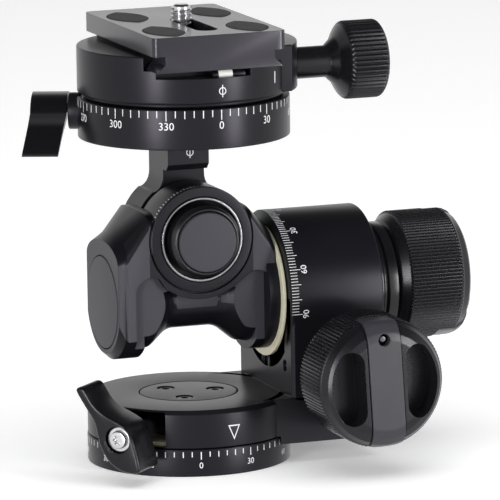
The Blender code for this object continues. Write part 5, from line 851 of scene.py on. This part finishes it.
brass = machined("turned_brass", (0.62, 0.46, 0.20), 0.28)
bronze = machined("turned_bronze", (0.45, 0.29, 0.15), 0.34)
for node, finish in (("tripod_bush", brass), ("x_worm_wheel", brass), ("y_worm_wheel", brass), ("pan_spindle", steel),
                     ("x_worm_front_bush", bronze), ("x_worm_rear_bush", bronze), ("main_spindle_bush", bronze),
                     ("y_worm_left_bush", bronze), ("y_worm_right_bush", bronze), ("pan_brake_shoe", bronze),
                     ("top_brake_shoe", bronze), ("pan_friction_washer", cream), ("pan_lock_stud", steel),
                     ("top_lock_stud", steel), ("top_pan_spindle", steel), ("clamp_screw", steel), ("x_worm_shaft", steel),
                     ("y_worm_shaft", steel), ("y_pivot_pin", steel), ("main_spindle", dark_steel),
                     ("arm_grub_screw", steel)):
    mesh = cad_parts[node].data
    mesh.materials.clear()
    mesh.materials.append(finish)

# ---------------------------------------------------------------------------------------------------------------
# Floor, light and camera. A plain white sweep, soft lamps round the head, and a long lens a little above it.

bpy.ops.mesh.primitive_plane_add(size=8, location=(0, 0, 0))
floor = bpy.context.object
floor.name = "white_floor"
floor.visible_glossy = floor.visible_shadow = False
board, where, shader = finish_start("white_board", 0.9)
shader.inputs["Base Color"].default_value = (0.93, 0.93, 0.93, 1)
shader.inputs["Specular IOR Level"].default_value = 0.1
shader.inputs["Emission Strength"].default_value = 1.0
straight = Wire(where.tree, where.tree.nodes.new("ShaderNodeLightPath").outputs["Is Camera Ray"])
feed(shader, "Emission Color", shades(where, straight, (0, 0, 0), (0.26, 0.26, 0.26)))
floor.data.materials.append(board)

# The world is white behind the head and in its gloss, where it dims towards the ceiling
world = bpy.data.worlds.new("studio")
bpy.context.scene.world = world
world.use_nodes = True
sky = world.node_tree.nodes["Background"]
sky.inputs["Color"].default_value = (1, 1, 1, 1)
camera_ray = Wire(world.node_tree, world.node_tree.nodes.new("ShaderNodeLightPath").outputs["Is Camera Ray"])
glossy_ray = Wire(camera_ray.tree, camera_ray.socket.node.outputs["Is Glossy Ray"])
clear_ray = Wire(camera_ray.tree, camera_ray.socket.node.outputs["Is Transmission Ray"])
toward = Wire(camera_ray.tree, camera_ray.tree.nodes.new("ShaderNodeTexCoord").outputs["Generated"])
height = toward.node("ShaderNodeSeparateXYZ", (), {"Vector": toward}, output=2)
CEILING, FILL = 0.06, 0.32
wall = height.node("ShaderNodeMapRange", {"interpolation_type": "SMOOTHSTEP"},
                   {"Value": height, "From Min": 0.25, "From Max": 0.65, "To Min": 1.0, "To Max": CEILING})
plain = camera_ray + clear_ray
other = 1 - plain - glossy_ray
camera_ray.tree.links.new((plain + glossy_ray * wall + other * FILL).socket, sky.inputs["Strength"])


def lamp(name, turn_deg, rise_deg, distance, size, radiance, glossy=True):
    """A soft rectangular lamp that faces the head from a direction: turned from the front to the right, then raised.
    Its power is radiance times area times pi."""
    light = bpy.data.lights.new(name, "AREA")
    light.shape, light.size, light.size_y = "RECTANGLE", *size
    light.energy = radiance * size[0] * size[1] * math.pi
    made = bpy.data.objects.new(name, light)
    bpy.context.scene.collection.objects.link(made)
    turn, rise = math.radians(turn_deg), math.radians(rise_deg)
    back = np.array([math.sin(turn) * math.cos(rise), -math.cos(turn) * math.cos(rise), math.sin(rise)])
    right = np.array([math.cos(turn), math.sin(turn), 0])
    place = back * distance + (0, 0, 0.06)
    made.matrix_world = Matrix([[*row] for row in np.c_[right, np.cross(back, right), back, place]] + [[0, 0, 0, 1]])
    made.visible_glossy = glossy


lamp("left_softbox", -50, 3, 1.3, (0.28, 0.70), 19.0)
lamp("right_softbox", 36, 2, 1.3, (0.32, 0.70), 15.0)
lamp("top_fill", 0, 80, 2.0, (2.4, 2.4), 1.7, False)

turn_deg, rise_deg, roll_deg, distance = 19.14, 10.16, 0.97, 1774.0
azimuth, elevation, roll = (math.radians(d) for d in (turn_deg, rise_deg, roll_deg))
target = np.array([0, 0, 62.0])
back = np.array([-math.sin(azimuth) * math.cos(elevation), -math.cos(azimuth) * math.cos(elevation), math.sin(elevation)])
eye = target + distance * back
right = np.array([math.cos(azimuth), -math.sin(azimuth), 0])
up = np.cross(back, right)
right, up = right * math.cos(roll) - up * math.sin(roll), right * math.sin(roll) + up * math.cos(roll)
aim = target + 18.8 * right - 0.26 * up
back = (eye - aim) / np.linalg.norm(eye - aim)
right = np.cross(up, back)
right /= np.linalg.norm(right)
up = np.cross(back, right)
lens_data = bpy.data.cameras.new("camera")
lens_data.lens, lens_data.sensor_width = 434.7, 36.0
lens_data.clip_start, lens_data.clip_end = 0.05, 30
camera = bpy.data.objects.new("camera", lens_data)
bpy.context.scene.collection.objects.link(camera)
camera.matrix_world = Matrix([[*row] for row in np.c_[right, up, back, eye * MM + PAN_AXIS]] + [[0, 0, 0, 1]])
bpy.context.scene.camera = camera
bpy.context.scene.view_settings.view_transform = "Standard"
